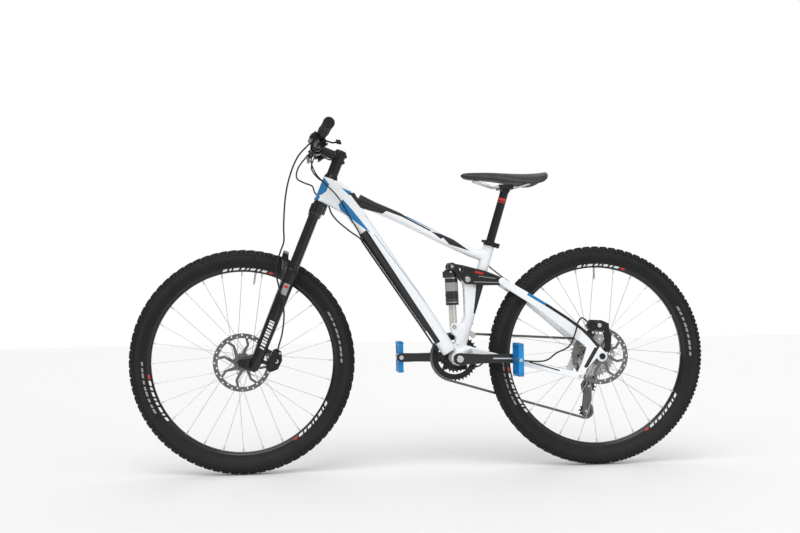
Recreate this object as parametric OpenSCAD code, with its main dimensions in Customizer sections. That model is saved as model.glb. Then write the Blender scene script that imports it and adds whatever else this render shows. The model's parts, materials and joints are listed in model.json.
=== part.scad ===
// Full-suspension mountain bike with 27.5 inch wheels.
// +X is forward, +Y is the rider's left, +Z is up. The ground is at Z = 0,
// and the origin is midway between the two wheels. All sizes are millimetres.

/* [Stance] */
// distance between the two axles
wheelbase = 1124; // [1110:1:1140]
// tilt of the steering axis from the ground, in degrees
head_angle = 68; // [67.5:0.1:68.5]
// distance of the front axle ahead of the steering axis
fork_rake = 46; // [45:0.5:47]
// tilt of the seat tube from the ground, in degrees
seat_angle = 73; // [72.8:0.1:73.2]

/* [Wheels] */
// radius of a tyre over its tread
wheel_r = 349; // [348:0.5:350]
// width of a tyre
tyre_w = 57; // [50:1:58]
// radius of the rim where the spokes enter
rim_bed_r = 280.5; // [279:0.5:281]
// number of spokes in each wheel
spoke_count = 28; // [24, 28, 32]
// radius of a brake disc
rotor_r = 90; // [80:1:90]

/* [Drive] */
// crank length from centre to pedal spindle
crank_len = 170; // [165:1:172]
// teeth on the large chainring
ring_teeth = 38; // [36:1:38]
// teeth on the sprocket that carries the chain
cog_teeth = 24; // [24]

/* [Controls] */
// distance from the centre of the handlebar to each end
bar_half = 355; // [340:1:360]
// length of a grip
grip_len = 128; // [110:1:130]

/* [Fork] */
// radius of a fork leg's upper tube
stanchion_r = 16; // [15.5:0.5:16]
// sideways distance of a fork leg from the centre
leg_y = 66; // [65:0.5:67]

/* [Hidden] */
$fn = 48;
bore_gap = 0.05;
cyl_fn = 64;
small_fn = 24;

// ---- main points, as [x, y, z] ----
front_axle_p = [wheelbase / 2, 0, wheel_r];
rear_axle_p = [-wheelbase / 2, 0, wheel_r];
steer_p = front_axle_p - fork_rake * [sin(head_angle), 0, cos(head_angle)];
bb_p = [-112, 0, 348];
main_pivot_p = [-148, 0, 372];
stay_pivot_p = [-487, 0, 289];
rocker_pivot_p = [-145, 0, 596.5];
rocker_rear_p = [-255, 0, 589];
shock_top_p = [-96, 0, 638];
shock_low_p = [-102, 0, 448];
shock_len = norm(shock_top_p - shock_low_p);
shock_lean = atan2(shock_top_p[0] - shock_low_p[0], shock_top_p[2] - shock_low_p[2]);

// ---- heights along the steering axis, measured from the axle's foot ----
leg_x = 6;
lower_top = 316;
crown_low = 512;
crown_high = 546;
cup_low = 552;
head_low = 560;
head_high = 634;
stem_low = 688;
stem_high = 724;
bar_clamp_x = 75;
bar_clamp_s = 708;
bar_bend_y = 60;
bar_mid_y = 130;
bar_mid_s = 726;
bar_end_x = 60;
bar_end_s = 742;
bar_r = 11.1;
bar_clamp_r = 15.9;
steerer_r = 14.3;

// ---- frame tubes ----
seat_tube_r = 18;
seat_tube_top = 370;
post_r = 13.6;
// each row of a tube is [x, z, half depth, half width]
top_tube_rows = [[197, 853, 19.6, 19], [150, 831, 17, 20], [100, 810, 16.5, 20],
    [52, 788, 16.5, 20], [-18, 752, 15.5, 19.5], [-64, 728, 15, 19],
    [-120, 702, 15.5, 18.5], [-166, 683, 17, 18], [-206, 671, 19, 17.5]];
down_tube_rows = [[192.6, 790.5, 26, 20], [150, 726.8, 26, 22], [60, 593, 25.5, 24],
    [-20, 474, 25, 26], [-88, 369, 24, 29]];
gusset_outline = [[262, 918], [205, 871], [189, 835], [180, 820], [171, 805],
    [214, 776], [233, 803], [312, 850], [300, 880]];
gusset_half = 19;
bb_r = 22;
bb_half = 36.5;

// ---- rear triangle, rows of [x, y, z, half depth, half width] ----
seatstay_rows = [[-252, 37.5, 590, 13, 5], [-290, 38.5, 565.5, 14.5, 5.5],
    [-342, 44, 533, 16, 7], [-400, 52, 491.5, 21.5, 8], [-457, 63, 448.5, 25.5, 7.5],
    [-500, 73.2, 414.5, 26.5, 5], [-522, 75.2, 397, 24, 4]];
dropout_outline = [[-500, 441], [-527, 414], [-556, 380], [-579, 353], [-570, 334], [-545, 344],
    [-514, 312], [-500, 284], [-478, 283], [-484, 304], [-497, 330], [-512, 376],
    [-486, 402]];
chainstay_rows = [[-170, 29.5, 366.6, 12, 4.5], [-182, 32, 363.7, 12, 6],
    [-215, 41, 355.6, 11, 6.5], [-260, 47, 344.6, 10, 6.5], [-330, 55, 327.4, 9.5, 6.5],
    [-400, 67, 310.3, 10, 6.5], [-440, 78, 300.5, 10.5, 5.5], [-464, 84, 294.6, 11, 3.8],
    [-487, 84, 289, 11.5, 3.8]];
rear_face = 71.2;
stay_plate = 8;
rocker_outline = [[-88, 650], [-130, 642], [-206, 622], [-259, 600.5], [-252, 577.3],
    [-200, 577], [-148, 581.5], [-128, 592], [-104, 622], [-83, 633]];
rocker_in = 22;
rocker_out = 32;

// ---- chain line ----
chain_pitch = 12.7;
ring_y = -52;
cog_y = -38.85;
pulley_teeth = 11;
pulley_up_p = [-548, 0, 246];
pulley_low_p = [-537, 0, 166];
ring_pr = chain_pitch / 2 / sin(180 / ring_teeth);
cog_pr = chain_pitch / 2 / sin(180 / cog_teeth);
pulley_pr = chain_pitch / 2 / sin(180 / pulley_teeth);

// ---- hose and cable routes, picked by hand ----
front_hose_route = [[338.9, 154.6, 1019.5], [340.1, 142, 1018.9], [354, 131, 1008],
    [386, 126, 972], [410, 119, 915], [424, 108, 850], [430, 88, 770], [430, 68, 722],
    [440, 48, 693], [452, 54, 655], [454, 84, 618], [442, 93, 560], [432, 92, 500],
    [438, 90, 440], [448, 76, 404], [453, 60, 385]];
rear_hose_route = [[338.9, -154.6, 1019.5], [340.1, -142, 1018.9], [353, -128, 1008],
    [382, -112, 968], [388, -84, 932], [366, -62, 914], [339.1, -54, 902], [330.6, -42, 879],
    [308.4, -37, 859], [289, -34, 838.3], [279, -32, 812], [258, -31, 786], [222, -27, 755],
    [190, -12, 730.5], [176.5, -8, 708.8], [86.2, -8, 575.2], [6, -8, 456.8], [-10, -8, 432.4],
    [-50, -8, 371], [-72, -8, 328], [-112, -10, 311], [-180, -18, 318], [-198, 26, 338],
    [-212, 56, 344], [-300, 66, 340], [-375, 80, 338], [-413, 86, 362], [-454, 90, 384],
    [-474, 88, 424], [-484, 84, 456], [-498, 74, 470], [-512, 60, 466], [-522.6, 54, 456.6]];
front_cable_route = [[315.2, 143.7, 1011.9], [316.3, 131.1, 1011.4], [330, 116, 1000],
    [344, 96, 966], [330, 62, 930], [300, 40, 900], [268, 34, 868], [246, 32, 836],
    [222, 30, 792], [200, 25, 756], [186, 12, 726.5], [176, 6, 708.6], [85.8, 6, 575],
    [5.6, 6, 456.6], [-10.4, 6, 432.2], [-50, 6, 370.6], [-74, 6, 338], [-92, 6, 322.8]];
rear_cable_route = [[315.2, -143.7, 1011.9], [316.3, -131.1, 1011.4], [330, -116, 1000],
    [340, -92, 962], [318, -56, 926], [286, -32, 906], [246, -27, 884], [200, -27, 862],
    [150, -27, 836], [50, -27, 792], [-60, -27, 734], [-150, -25, 694], [-190, -28, 676],
    [-216, -40, 650], [-236, -50, 632], [-270, -54, 606], [-342, -60, 554], [-400, -68, 516],
    [-457, -78, 470], [-510, -86, 422], [-560, -92, 372], [-592, -96, 334], [-602, -90, 300],
    [-594.6, -80, 286]];
hose_r = 2.5;
cable_r = 2.2;

// ---- colours ----
white_c = [0.9, 0.9, 0.9];
black_c = [0.08, 0.08, 0.09];
grey_c = [0.35, 0.36, 0.38];
silver_c = [0.75, 0.76, 0.78];
blue_c = [0.05, 0.35, 0.75];
rubber_c = [0.12, 0.12, 0.12];

// ================= helpers =================

function unit(v) = v / norm(v);

// one closed ring of a swept shape, flattened by a power toward a rounded box
function power_cos(a, p) = sign(cos(a)) * pow(abs(cos(a)), p);
function ring_points(c, u, v, a, b, count, p) =
    [for (k = [0 : count - 1]) let (t = 360 * k / count)
        c + u * a * power_cos(t, p) + v * b * power_cos(t - 90, p)];

function route_tangent(pts, i) =
    unit(pts[min(i + 1, len(pts) - 1)] - pts[max(i - 1, 0)]);

// rings along a route: sizes holds [half depth, half width] at each point
function sweep_rings(pts, sizes, side, count, p) =
    [for (i = [0 : len(pts) - 1]) let (t = route_tangent(pts, i), u = unit(cross(side, t)),
        v = cross(t, u)) ring_points(pts[i], u, v, sizes[i][0], sizes[i][1], count, p)];

// a closed solid through rings that all have the same number of points
module loft(rings) {
    count = len(rings[0]);
    last = len(rings) - 1;
    points = [for (r = rings) for (q = r) q];
    sides = [for (i = [0 : last - 1]) for (k = [0 : count - 1])
        let (a = i * count + k, b = i * count + (k + 1) % count)
        each [[a, b, a + count], [b, b + count, a + count]]];
    start_cap = [for (k = [1 : count - 2]) [0, k + 1, k]];
    end_cap = [for (k = [1 : count - 2]) [last * count, last * count + k, last * count + k + 1]];
    polyhedron(points = points, faces = concat(sides, start_cap, end_cap));
}

module sweep(pts, sizes, side, count = 16, p = 1)
    loft(sweep_rings(pts, sizes, side, count, p));

// a hose or cable of one radius along a route
module hose(route, r)
    sweep(route, [for (q = route) [r, r]], unit([0.02, 0.03, 1]), 8);

// a round bar between two points
module rod(a, b, r1, r2 = -1) {
    v = b - a;
    translate(a)
        rotate([0, acos(v[2] / norm(v)), atan2(v[1], v[0])])
            cylinder(h = norm(v), r1 = r1, r2 = r2 < 0 ? r1 : r2);
}

// a cylinder along Y between two sideways positions
module y_cyl(p, r, y0, y1)
    translate([p[0], y1, p[2]]) rotate([90, 0, 0]) cylinder(h = y1 - y0, r = r);

// a plate cut from a side outline of [x, z] points
module side_plate(outline, y0, y1)
    translate([0, y1, 0]) rotate([90, 0, 0]) linear_extrude(y1 - y0) polygon(outline);

// places children in the steering frame: Z runs up the steering axis
module steer()
    translate(steer_p) rotate([0, head_angle - 90, 0]) children();

// places children along the seat tube from the bottom bracket
module seat_line()
    translate(bb_p) rotate([0, seat_angle - 90, 0]) children();

module at_front_axle() translate(front_axle_p) children();
module at_rear_axle() translate(rear_axle_p) children();

// turns a shape made round Z so that its axis lies along Y
module along_y() rotate([-90, 0, 0]) children();

module both_sides() {
    children();
    mirror([0, 1, 0]) children();
}

// ================= frame =================

module head_tube_bores() {
    steer() translate([0, 0, 540]) cylinder(h = 110, r = steerer_r + bore_gap);
    steer() translate([0, 0, head_low + 10]) cylinder(h = head_high - head_low - 20, r = 18);
}

module head_tube() {
    color(white_c)
    difference() {
        union() {
            steer() translate([0, 0, head_low]) cylinder(h = head_high - head_low, r = 23, $fn = cyl_fn);
            steer() translate([0, 0, cup_low]) cylinder(h = head_low - cup_low, r = 26, $fn = cyl_fn);
            side_plate(gusset_outline, -gusset_half, gusset_half);
        }
        head_tube_bores();
        steer() translate([20, 0, head_high + 20]) cube([200, 80, 40], center = true);
    }
}

function tube_points(rows) = [for (q = rows) [q[0], 0, q[1]]];
function tube_sizes(rows) = [for (q = rows) [q[2], q[3]]];

module top_tube() {
    color(white_c)
    difference() {
        sweep(tube_points(top_tube_rows), tube_sizes(top_tube_rows), [0, 1, 0], 20, 0.8);
        seat_line() cylinder(h = 420, r = seat_tube_r);
        side_plate(gusset_outline, -40, 40);
    }
}

module down_tube() {
    color(white_c)
    difference() {
        sweep(tube_points(down_tube_rows), tube_sizes(down_tube_rows), [0, 1, 0], 20, 0.8);
        y_cyl(bb_p, bb_r, -60, 60);
        seat_line() cylinder(h = 200, r = seat_tube_r);
        side_plate(gusset_outline, -40, 40);
    }
}

// the guard is a thin half sleeve under the down tube
guard_rows = [[170, 756.5, 26, 21.3], [150, 726.8, 26, 22], [60, 593, 25.5, 24],
    [-20, 474, 25, 26], [-36, 449.5, 24.8, 26.6]];
function guard_ring(i, out, n) =
    let (pts = tube_points(guard_rows), t = route_tangent(pts, i), u = cross([0, 1, 0], t),
        a = guard_rows[i][2] + out, b = guard_rows[i][3] + out)
    [for (k = [0 : n]) let (f = 90 + 180 * k / n)
        pts[i] + u * a * power_cos(f, 0.8) - [0, 1, 0] * b * power_cos(f - 90, 0.8)];

module tube_guard() {
    n = 12;
    rings = [for (i = [0 : len(guard_rows) - 1])
        concat(guard_ring(i, 2.6, n), [for (k = [n : -1 : 0]) guard_ring(i, 0.4, n)[k]])];
    count = 2 * (n + 1);
    last = len(rings) - 1;
    points = [for (r = rings) for (q = r) q];
    sides = [for (i = [0 : last - 1]) for (k = [0 : count - 1])
        let (a = i * count + k, b = i * count + (k + 1) % count)
        each [[a, b, a + count], [b, b + count, a + count]]];
    start_cap = [for (k = [0 : n - 1]) let (m = count - 1 - k) each [[k, m, m - 1], [k, m - 1, k + 1]]];
    end_cap = [for (k = [0 : n - 1]) let (m = count - 1 - k, z = last * count)
        each [[z + k, z + m - 1, z + m], [z + k, z + k + 1, z + m - 1]]];
    color(black_c) polyhedron(points = points, faces = concat(sides, start_cap, end_cap));
}

module seat_tube() {
    color(white_c)
    difference() {
        seat_line() union() {
            cylinder(h = seat_tube_top, r = seat_tube_r, $fn = cyl_fn);
            translate([0, 0, seat_tube_top]) cylinder(h = 16, r = 15.6, $fn = cyl_fn);
        }
        seat_line() translate([0, 0, 106]) cylinder(h = 400, r = post_r + bore_gap, $fn = cyl_fn);
        y_cyl(bb_p, bb_r, -60, 60);
    }
}

module pivot_strut() {
    outline = [[-131, 598], [-136, 563], [-138, 472], [-129, 446], [-110, 424],
        [-105, 392], [-124, 390], [-151, 478], [-163, 540], [-169, 563], [-163, 598]];
    lug = [[-111, 459], [-94, 459], [-90, 448], [-96, 425], [-112, 412], [-134, 440],
        [-134, 458]];
    color(white_c)
    difference() {
        union() {
            side_plate(outline, -20, 20);
            y_cyl(rocker_pivot_p, 15, -20, 20);
            both_sides() side_plate(lug, 13, 19);
        }
        seat_line() cylinder(h = 420, r = seat_tube_r);
        y_cyl(rocker_pivot_p, 7.5 + bore_gap, -40, 40);
        y_cyl(shock_low_p, 4 + bore_gap, -40, 40);
        y_cyl(shock_low_p, 15, -13, 13);
        side_plate([[-120, 500], [-84, 500], [-84, 405], [-112, 405]], -13, 13);
    }
}

module bb_shell() {
    lug = [[-155, 358.5], [-142, 386], [-120, 372], [-112, 348], [-122, 329]];
    color(white_c)
    difference() {
        union() {
            y_cyl(bb_p, bb_r, -bb_half, bb_half);
            both_sides() y_cyl(bb_p, 21.4, bb_half, 45.6);
            difference() {
                union() {
                    side_plate(lug, -24, 24);
                    y_cyl(main_pivot_p, 14.5, -24, 24);
                }
                seat_line() cylinder(h = 200, r = seat_tube_r);
            }
        }
        y_cyl(bb_p, 12 + bore_gap, -60, 60);
        y_cyl(bb_p, 17, -30, 30);
        y_cyl(main_pivot_p, 7.5 + bore_gap, -60, 60);
    }
}

collar_lug_x = -24;
collar_mid = seat_tube_top + 8.5;
lever_pin = [-25, 15.5];
// the collar carries a cross skewer whose left end holds the lever's upright pin
module seat_collar() {
    color(black_c)
    seat_line() union() {
        difference() {
            union() {
                translate([0, 0, seat_tube_top + 1]) cylinder(h = 15, r = 19.2, $fn = cyl_fn);
                translate([collar_lug_x, 0, collar_mid]) cube([14, 18, 14], center = true);
            }
            cylinder(h = 500, r = 15.6 + 0.01, $fn = cyl_fn);
            translate([-24, 0, collar_mid]) cube([20, 2.4, 20], center = true);
        }
        translate([lever_pin[0], 0, collar_mid]) along_y() {
            translate([0, 0, -13]) cylinder(h = 13 + lever_pin[1], r = 3, $fn = small_fn);
            translate([0, 0, -14]) cylinder(h = 4.4, r = 5.5, $fn = small_fn);
        }
        translate([lever_pin[0], lever_pin[1], collar_mid - 5.5])
            cylinder(h = 11, r = 3, $fn = small_fn);
    }
}

// the quick-release lever swings round the collar's upright pin
module seat_lever() {
    blade = [[-25, 9.8], [-18, 12], [-5, 24.5], [12, 25.5], [28, 18], [31, 22], [14, 30.5],
        [-6, 30], [-25, 21.2]];
    color(black_c)
    seat_line() translate([0, 0, collar_mid]) difference() {
        union() {
            translate([0, 0, -4]) linear_extrude(8) polygon(blade);
            translate([lever_pin[0], lever_pin[1], -5.5]) cylinder(h = 11, r = 5.7, $fn = small_fn);
        }
        translate([lever_pin[0], lever_pin[1], -3.3]) cylinder(h = 6.6, r = 8, $fn = small_fn);
        translate([lever_pin[0], lever_pin[1], -9])
            cylinder(h = 18, r = 3 + bore_gap, $fn = small_fn);
    }
}

// ================= seat =================

module seatpost() {
    head = bb_p + 556 * [-cos(seat_angle), 0, sin(seat_angle)];
    color(black_c)
    difference() {
        union() {
            seat_line() translate([0, 0, 212]) cylinder(h = 340, r = post_r, $fn = cyl_fn);
            y_cyl(head, 13, -17, 17);
            translate([head[0], 0, 889.5]) cube([46, 56, 15], center = true);
        }
        for (y = [-rail_y, rail_y]) translate([head[0], y, rail_z]) rotate([0, 90, 0])
            cylinder(h = 80, r = rail_r + 0.01, center = true);
        translate([head[0], 0, 897]) cube([60, 26, 8], center = true);
    }
}

// each row is [x, half width, top, bottom, droop of the edges]
saddle_rows = [[-134, 7, 931, 925, 1], [-138, 14, 934, 920, 2], [-150, 18, 937, 916, 4],
    [-180, 21, 939, 914, 6], [-220, 25, 939.5, 912, 9], [-262, 34, 937, 911, 13],
    [-300, 50, 935, 911, 20], [-335, 64, 934, 912, 26], [-370, 70, 935.5, 914, 26],
    [-395, 62, 937.5, 919, 20], [-406, 44, 938, 925, 12], [-410, 24, 937, 930, 6]];
module saddle() {
    rings = [for (q = saddle_rows) [for (k = [0 : 23]) let (t = 15 * k, c = power_cos(t, 0.9))
        [q[0], q[1] * c, (q[2] + q[3]) / 2 + (q[2] - q[3]) / 2 * power_cos(t - 90, 0.8)
            - q[4] * c * c]]];
    color(black_c) loft(rings);
}

rail_y = 22;
rail_z = 889.5;
rail_r = 3.5;
module saddle_rails() {
    route = [[-172, 9, 909], [-236, rail_y, rail_z], [-312, rail_y, rail_z], [-362, 34, 904]];
    color(silver_c) both_sides() for (i = [0 : 2]) {
        lap = i == 1 ? 1 : 0;
        rod(route[i] - [lap, 0, 0], route[i + 1] + [lap, 0, 0], rail_r);
    }
}

// ================= fork, upper =================

module fork_crown() {
    color(black_c)
    steer() union() {
        translate([0, 0, 520]) cylinder(h = 202, r = steerer_r, $fn = cyl_fn);
        translate([0, 0, crown_low + 6]) cylinder(h = crown_high - crown_low - 1, r = 23, $fn = cyl_fn);
        both_sides() {
            translate([leg_x, leg_y, 200]) cylinder(h = 330, r = stanchion_r, $fn = cyl_fn);
            translate([leg_x, leg_y, crown_low - 4]) cylinder(h = 28, r = 20.5, $fn = cyl_fn);
            translate([leg_x, leg_y, 530]) cylinder(h = 9, r = 15, $fn = cyl_fn);
            translate([leg_x, leg_y, 538]) cylinder(h = 5, r = 10, $fn = small_fn);
            rotate([90, 0, 90]) translate([0, 0, -15]) linear_extrude(36)
                polygon([[0, 515], [20, 516], [66, crown_low - 2], [66, 534], [24, 545], [0, 545]]);
        }
    }
}

module steerer_spacers() {
    color(black_c)
    steer() difference() {
        union() {
            translate([0, 0, head_high + 0.2]) cylinder(h = 13, r1 = 23, r2 = 18, $fn = cyl_fn);
            for (i = [0 : 3]) translate([0, 0, head_high + 13.4 + i * 10.1])
                cylinder(h = 9.9, r = 17.5, $fn = cyl_fn);
            translate([0, 0, stem_high + 0.2]) cylinder(h = 4, r = 17, $fn = cyl_fn);
            translate([0, 0, stem_high + 0.2]) cylinder(h = 6, r = 5, $fn = small_fn);
        }
        translate([0, 0, 600]) cylinder(h = 122.5, r = steerer_r);
    }
}

module stem() {
    color(black_c)
    steer() difference() {
        union() {
            translate([0, 0, stem_low]) cylinder(h = stem_high - stem_low, r = 19, $fn = cyl_fn);
            rod([2, 0, 706], [66, 0, 708], 15, 14);
            translate([bar_clamp_x, 0, bar_clamp_s]) along_y()
                cylinder(h = 44, r = 21.5, center = true, $fn = cyl_fn);
            for (y = [-15, 15]) for (s = [-19, 19]) translate([bar_clamp_x + 4, y, bar_clamp_s + s])
                rotate([0, 90, 0]) cylinder(h = 16, r = 4.5, center = true, $fn = small_fn);
            for (s = [-10, 10]) translate([-19, 0, 706 + s]) along_y()
                cylinder(h = 24, r = 4.5, center = true, $fn = small_fn);
        }
        translate([0, 0, 600]) cylinder(h = 200, r = steerer_r, $fn = cyl_fn);
        translate([bar_clamp_x, 0, bar_clamp_s]) along_y()
            cylinder(h = 80, r = bar_clamp_r, center = true, $fn = cyl_fn);
        translate([-24, 0, 706]) cube([24, 2, 60], center = true);
        for (s = [-20, 20]) translate([bar_clamp_x + 4, 0, bar_clamp_s + s]) cube([2, 60, 16], center = true);
    }
}

bar_points = [[bar_clamp_x, bar_bend_y, bar_clamp_s], [bar_clamp_x, bar_mid_y, bar_mid_s],
    [bar_end_x, bar_half, bar_end_s]];
bar_run = bar_points[2] - bar_points[1];
bar_dir = unit(bar_run);
rise_dir = unit(bar_points[1] - bar_points[0]);
function bar_at(y) = bar_points[1] + bar_run * (y - bar_mid_y) / (bar_half - bar_mid_y);

module handlebar() {
    color(black_c)
    steer() union() {
        translate([bar_clamp_x, 0, bar_clamp_s]) along_y()
            cylinder(h = 2 * bar_bend_y, r = bar_clamp_r, center = true, $fn = cyl_fn);
        both_sides() {
            rod(bar_points[0] - [0, 10, 0], bar_points[1] + 1.5 * rise_dir, 14.8, bar_r - 0.5);
            rod(bar_points[1] - 2.5 * bar_dir, bar_points[2], bar_r);
        }
    }
}

module grips() {
    inner = bar_at(bar_half - grip_len);
    color(rubber_c)
    steer() both_sides() difference() {
        union() {
            rod(inner, bar_points[2] + 4 * bar_dir, 15.2);
            rod(inner, inner + 10 * bar_dir, 17);
            rod(bar_points[2] - 8 * bar_dir, bar_points[2] + 2 * bar_dir, 17);
        }
        rod(inner - 20 * bar_dir, bar_points[2], bar_r);
    }
}

// places a hand control on the bar; X points from the bar to the brake blade
control_y = 190;
control_turn = 57;
module control_frame(side)
    steer() mirror([0, side < 0 ? 1 : 0, 0]) translate(bar_at(control_y))
        rotate([asin(bar_dir[2]), 0, atan2(-bar_dir[0], bar_dir[1])])
            rotate([0, control_turn, 0]) children();

blade_pivot = [38, -24, 0];
paddle_pivot = [12, -30, -22];

module control(side) {
    color(black_c)
    control_frame(side) difference() {
        union() {
            along_y() cylinder(h = 14, r = 15.5, center = true);
            translate([8, 0, 0]) cube([32, 12, 16], center = true);
            rod([28, -38, 2], [28, 20, 2], 8.5);
            translate([24, -4, 11]) cube([20, 40, 10.8], center = true);
            translate([blade_pivot[0] - 3, blade_pivot[1], 5.5]) cube([20, 16, 4], center = true);
            translate([blade_pivot[0] - 3, blade_pivot[1], -5.5]) cube([20, 16, 4], center = true);
            translate([28, -24, 0]) cube([14, 16, 15], center = true);
            translate([0, -30, 0]) along_y() cylinder(h = 9, r = 14.5, center = true);
            translate([6, -30, -15]) cube([18, 9, 14], center = true);
            translate([paddle_pivot[0], paddle_pivot[1], -22]) cylinder(h = 8, r = 17);
            translate([paddle_pivot[0], paddle_pivot[1], -34]) cylinder(h = 5, r = 15);
            translate([paddle_pivot[0], paddle_pivot[1], -34]) cylinder(h = 16, r = 4, $fn = small_fn);
        }
        along_y() cylinder(h = 200, r = bar_r, center = true);
        translate(blade_pivot) cylinder(h = 30, r = 2.5 + bore_gap, center = true, $fn = small_fn);
        translate([blade_pivot[0] + 1.5, blade_pivot[1], 0]) cube([17, 30, 7], center = true);
        translate([40.6, 7, 0]) cube([16, 38, 11.2], center = true);
    }
}
module control_left() control(1);
module control_right() control(-1);

module brake_blade(side) {
    blade = [[34, -30], [42, -29], [46, -14], [53, 20], [54, 50], [53, 80], [59, 104],
        [55, 107], [48, 96], [46, 80], [46, 50], [44, 20], [38, -8], [33, -20]];
    color(black_c)
    control_frame(side) union() {
        translate([0, 0, -3.2]) linear_extrude(6.4) polygon(blade);
        translate([0, 0, -5]) linear_extrude(10) polygon([for (k = [3 : 11]) blade[k]]);
        translate(blade_pivot) cylinder(h = 16, r = 2.5, center = true, $fn = small_fn);
    }
}
module brake_blade_left() brake_blade(1);
module brake_blade_right() brake_blade(-1);

module shift_paddle(side) {
    tip = [-18, 36, -51];
    color(black_c)
    control_frame(side) difference() {
        union() {
            rod([12, -24, -25.5], [1, -6, -25.7], 2.6);
            rod([1.3, -7, -25], [-6, 16, -42], 2.6);
            rod([-6.5, 15, -41.5], tip, 2.6, 3);
            translate(tip) rotate([35, 35, 20]) cube([5, 20, 14], center = true);
            translate([paddle_pivot[0], paddle_pivot[1], -28.4]) cylinder(h = 5.8, r = 11);
        }
        translate([paddle_pivot[0], paddle_pivot[1], -40])
            cylinder(h = 40, r = 4 + bore_gap, $fn = small_fn);
    }
}
module shift_paddle_left() shift_paddle(1);
module shift_paddle_right() shift_paddle(-1);

// ================= fork, lower =================

module fork_lowers() {
    dropout = [[leg_x - 12, 20], [leg_x + 13, 30], [58, 8], [60, -4], [52, -13], [38, -14],
        [leg_x - 6, -14], [leg_x - 13, -6]];
    arch_front = [[-78, 286], [-74, 312], [-62, 340], [-42, 362], [-18, 371], [18, 371],
        [42, 362], [62, 340], [74, 312], [78, 286], [52, 286], [50, 318], [40, 340],
        [26, 354], [10, 358.6], [-10, 358.6], [-26, 354], [-40, 340], [-50, 318], [-52, 286]];
    arch_side = [[2, 280], [30, 280], [42, 320], [52, 346], [55, 372], [38, 372], [30, 346],
        [14, 316]];
    color(black_c)
    steer() difference() {
        union() {
            both_sides() {
                translate([leg_x, leg_y, 150]) cylinder(h = lower_top - 150, r = 19.5, $fn = cyl_fn);
                translate([leg_x, leg_y, 30]) cylinder(h = 120, r1 = 17.5, r2 = 19.5, $fn = cyl_fn);
                translate([leg_x, leg_y, -6]) cylinder(h = 36, r1 = 14, r2 = 17.5, $fn = cyl_fn);
                translate([leg_x, leg_y, -12]) cylinder(h = 6, r = 8, $fn = small_fn);
                translate([leg_x, leg_y, lower_top]) cylinder(h = 9, r1 = 19, r2 = 17.5, $fn = cyl_fn);
                side_plate(dropout, 50.3, 62);
                translate([fork_rake, 0, 0]) y_cyl([0, 0, 0], 14, 50.3, 62);
            }
            intersection() {
                rotate([90, 0, 90]) linear_extrude(70) polygon(arch_front);
                side_plate(arch_side, -80, 80);
            }
            translate([leg_x - 22, 60, 62]) cube([22, 12, 12], center = true);
            translate([leg_x - 22, 60, 26]) cube([22, 12, 12], center = true);
        }
        both_sides() {
            translate([leg_x, leg_y, 46]) cylinder(h = 400, r = stanchion_r + bore_gap, $fn = cyl_fn);
        }
        translate([fork_rake, 0, 0]) y_cyl([0, 0, 0], 7.5, -90, 90);
    }
}

rotor_front_y = 38.5;
rotor_rear_y = 52.5;
module front_caliper() {
    outline = [[-27.5, 10], [-46, 4], [-64, 20], [-66, 50], [-54, 74], [-36, 78], [-27.5, 70]];
    color(black_c)
    steer() difference() {
        union() {
            side_plate(outline, 27, 53);
            side_plate([[-27.5, 18], [-44, 18], [-50, 44], [-44, 70], [-27.5, 70]], 53, 66);
            y_cyl([-48, 0, 40], 13, 24, 58);
            for (s = [26, 62]) translate([-38, 60, s]) rotate([0, 90, 0])
                cylinder(h = 20, r = 5, center = true, $fn = small_fn);
        }
        translate([fork_rake, 0, 0]) y_cyl([0, 0, 0], rotor_r + 2, rotor_front_y - 2.5, rotor_front_y + 2.5);
        translate([fork_rake, 0, 0]) y_cyl([0, 0, 0], 66, 0, 50.2);
    }
}

module front_axle() {
    color(black_c)
    at_front_axle() union() {
        y_cyl([0, 0, 0], 7.5, -62, 62);
        both_sides() y_cyl([0, 0, 0], 10, 62, 66);
    }
}

// ================= wheels, made round the Y axis at the origin =================

// the tyre is a C-shaped casing, open toward the rim
module wheel_tyre() {
    half = tyre_w / 2;
    outline = [[292.5, -13.4], [297, -14.6], [306, -22], [318, -half], [328, -half],
        [337, -half + 2.5], [344, -half + 9], [347.6, -11], [wheel_r, -4], [wheel_r, 4],
        [347.6, 11], [344, half - 9], [337, half - 2.5], [328, half], [318, half],
        [306, 22], [297, 14.6], [292.5, 13.4], [292.5, 11.6], [300, 12.4], [307, 19],
        [318, half - 3], [328, half - 3], [336, half - 6], [341.5, half - 12], [343.5, 6],
        [343.5, -6], [341.5, -half + 12], [336, -half + 6], [328, -half + 3],
        [318, -half + 3], [307, -19], [300, -12.4], [292.5, -11.6]];
    color(rubber_c) along_y() rotate_extrude($fn = 96) polygon(outline);
}

module wheel_rim() {
    r = rim_bed_r;
    outline = [[r, -6], [r + 5, -11.5], [r + 11.7, -13], [r + 11.7, 13], [r + 5, 11.5],
        [r, 6]];
    hollow = [[r + 2.2, -5], [r + 6, -9.6], [r + 9.9, -10.8], [r + 9.9, 10.8], [r + 6, 9.6],
        [r + 2.2, 5]];
    flange = [[r + 11.7, 9.8], [r + 17, 9.8], [r + 17, 11.4], [r + 11.7, 11.4]];
    color(black_c) along_y() {
        rotate_extrude($fn = 96) polygon(points = concat(outline, hollow),
            paths = [[0, 1, 2, 3, 4, 5], [6, 7, 8, 9, 10, 11]]);
    }
    color(black_c) rotate([0, 4, 0]) translate([0, 0, rim_bed_r - 34]) cylinder(h = 33.9, r = 3, $fn = small_fn);
}

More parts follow.
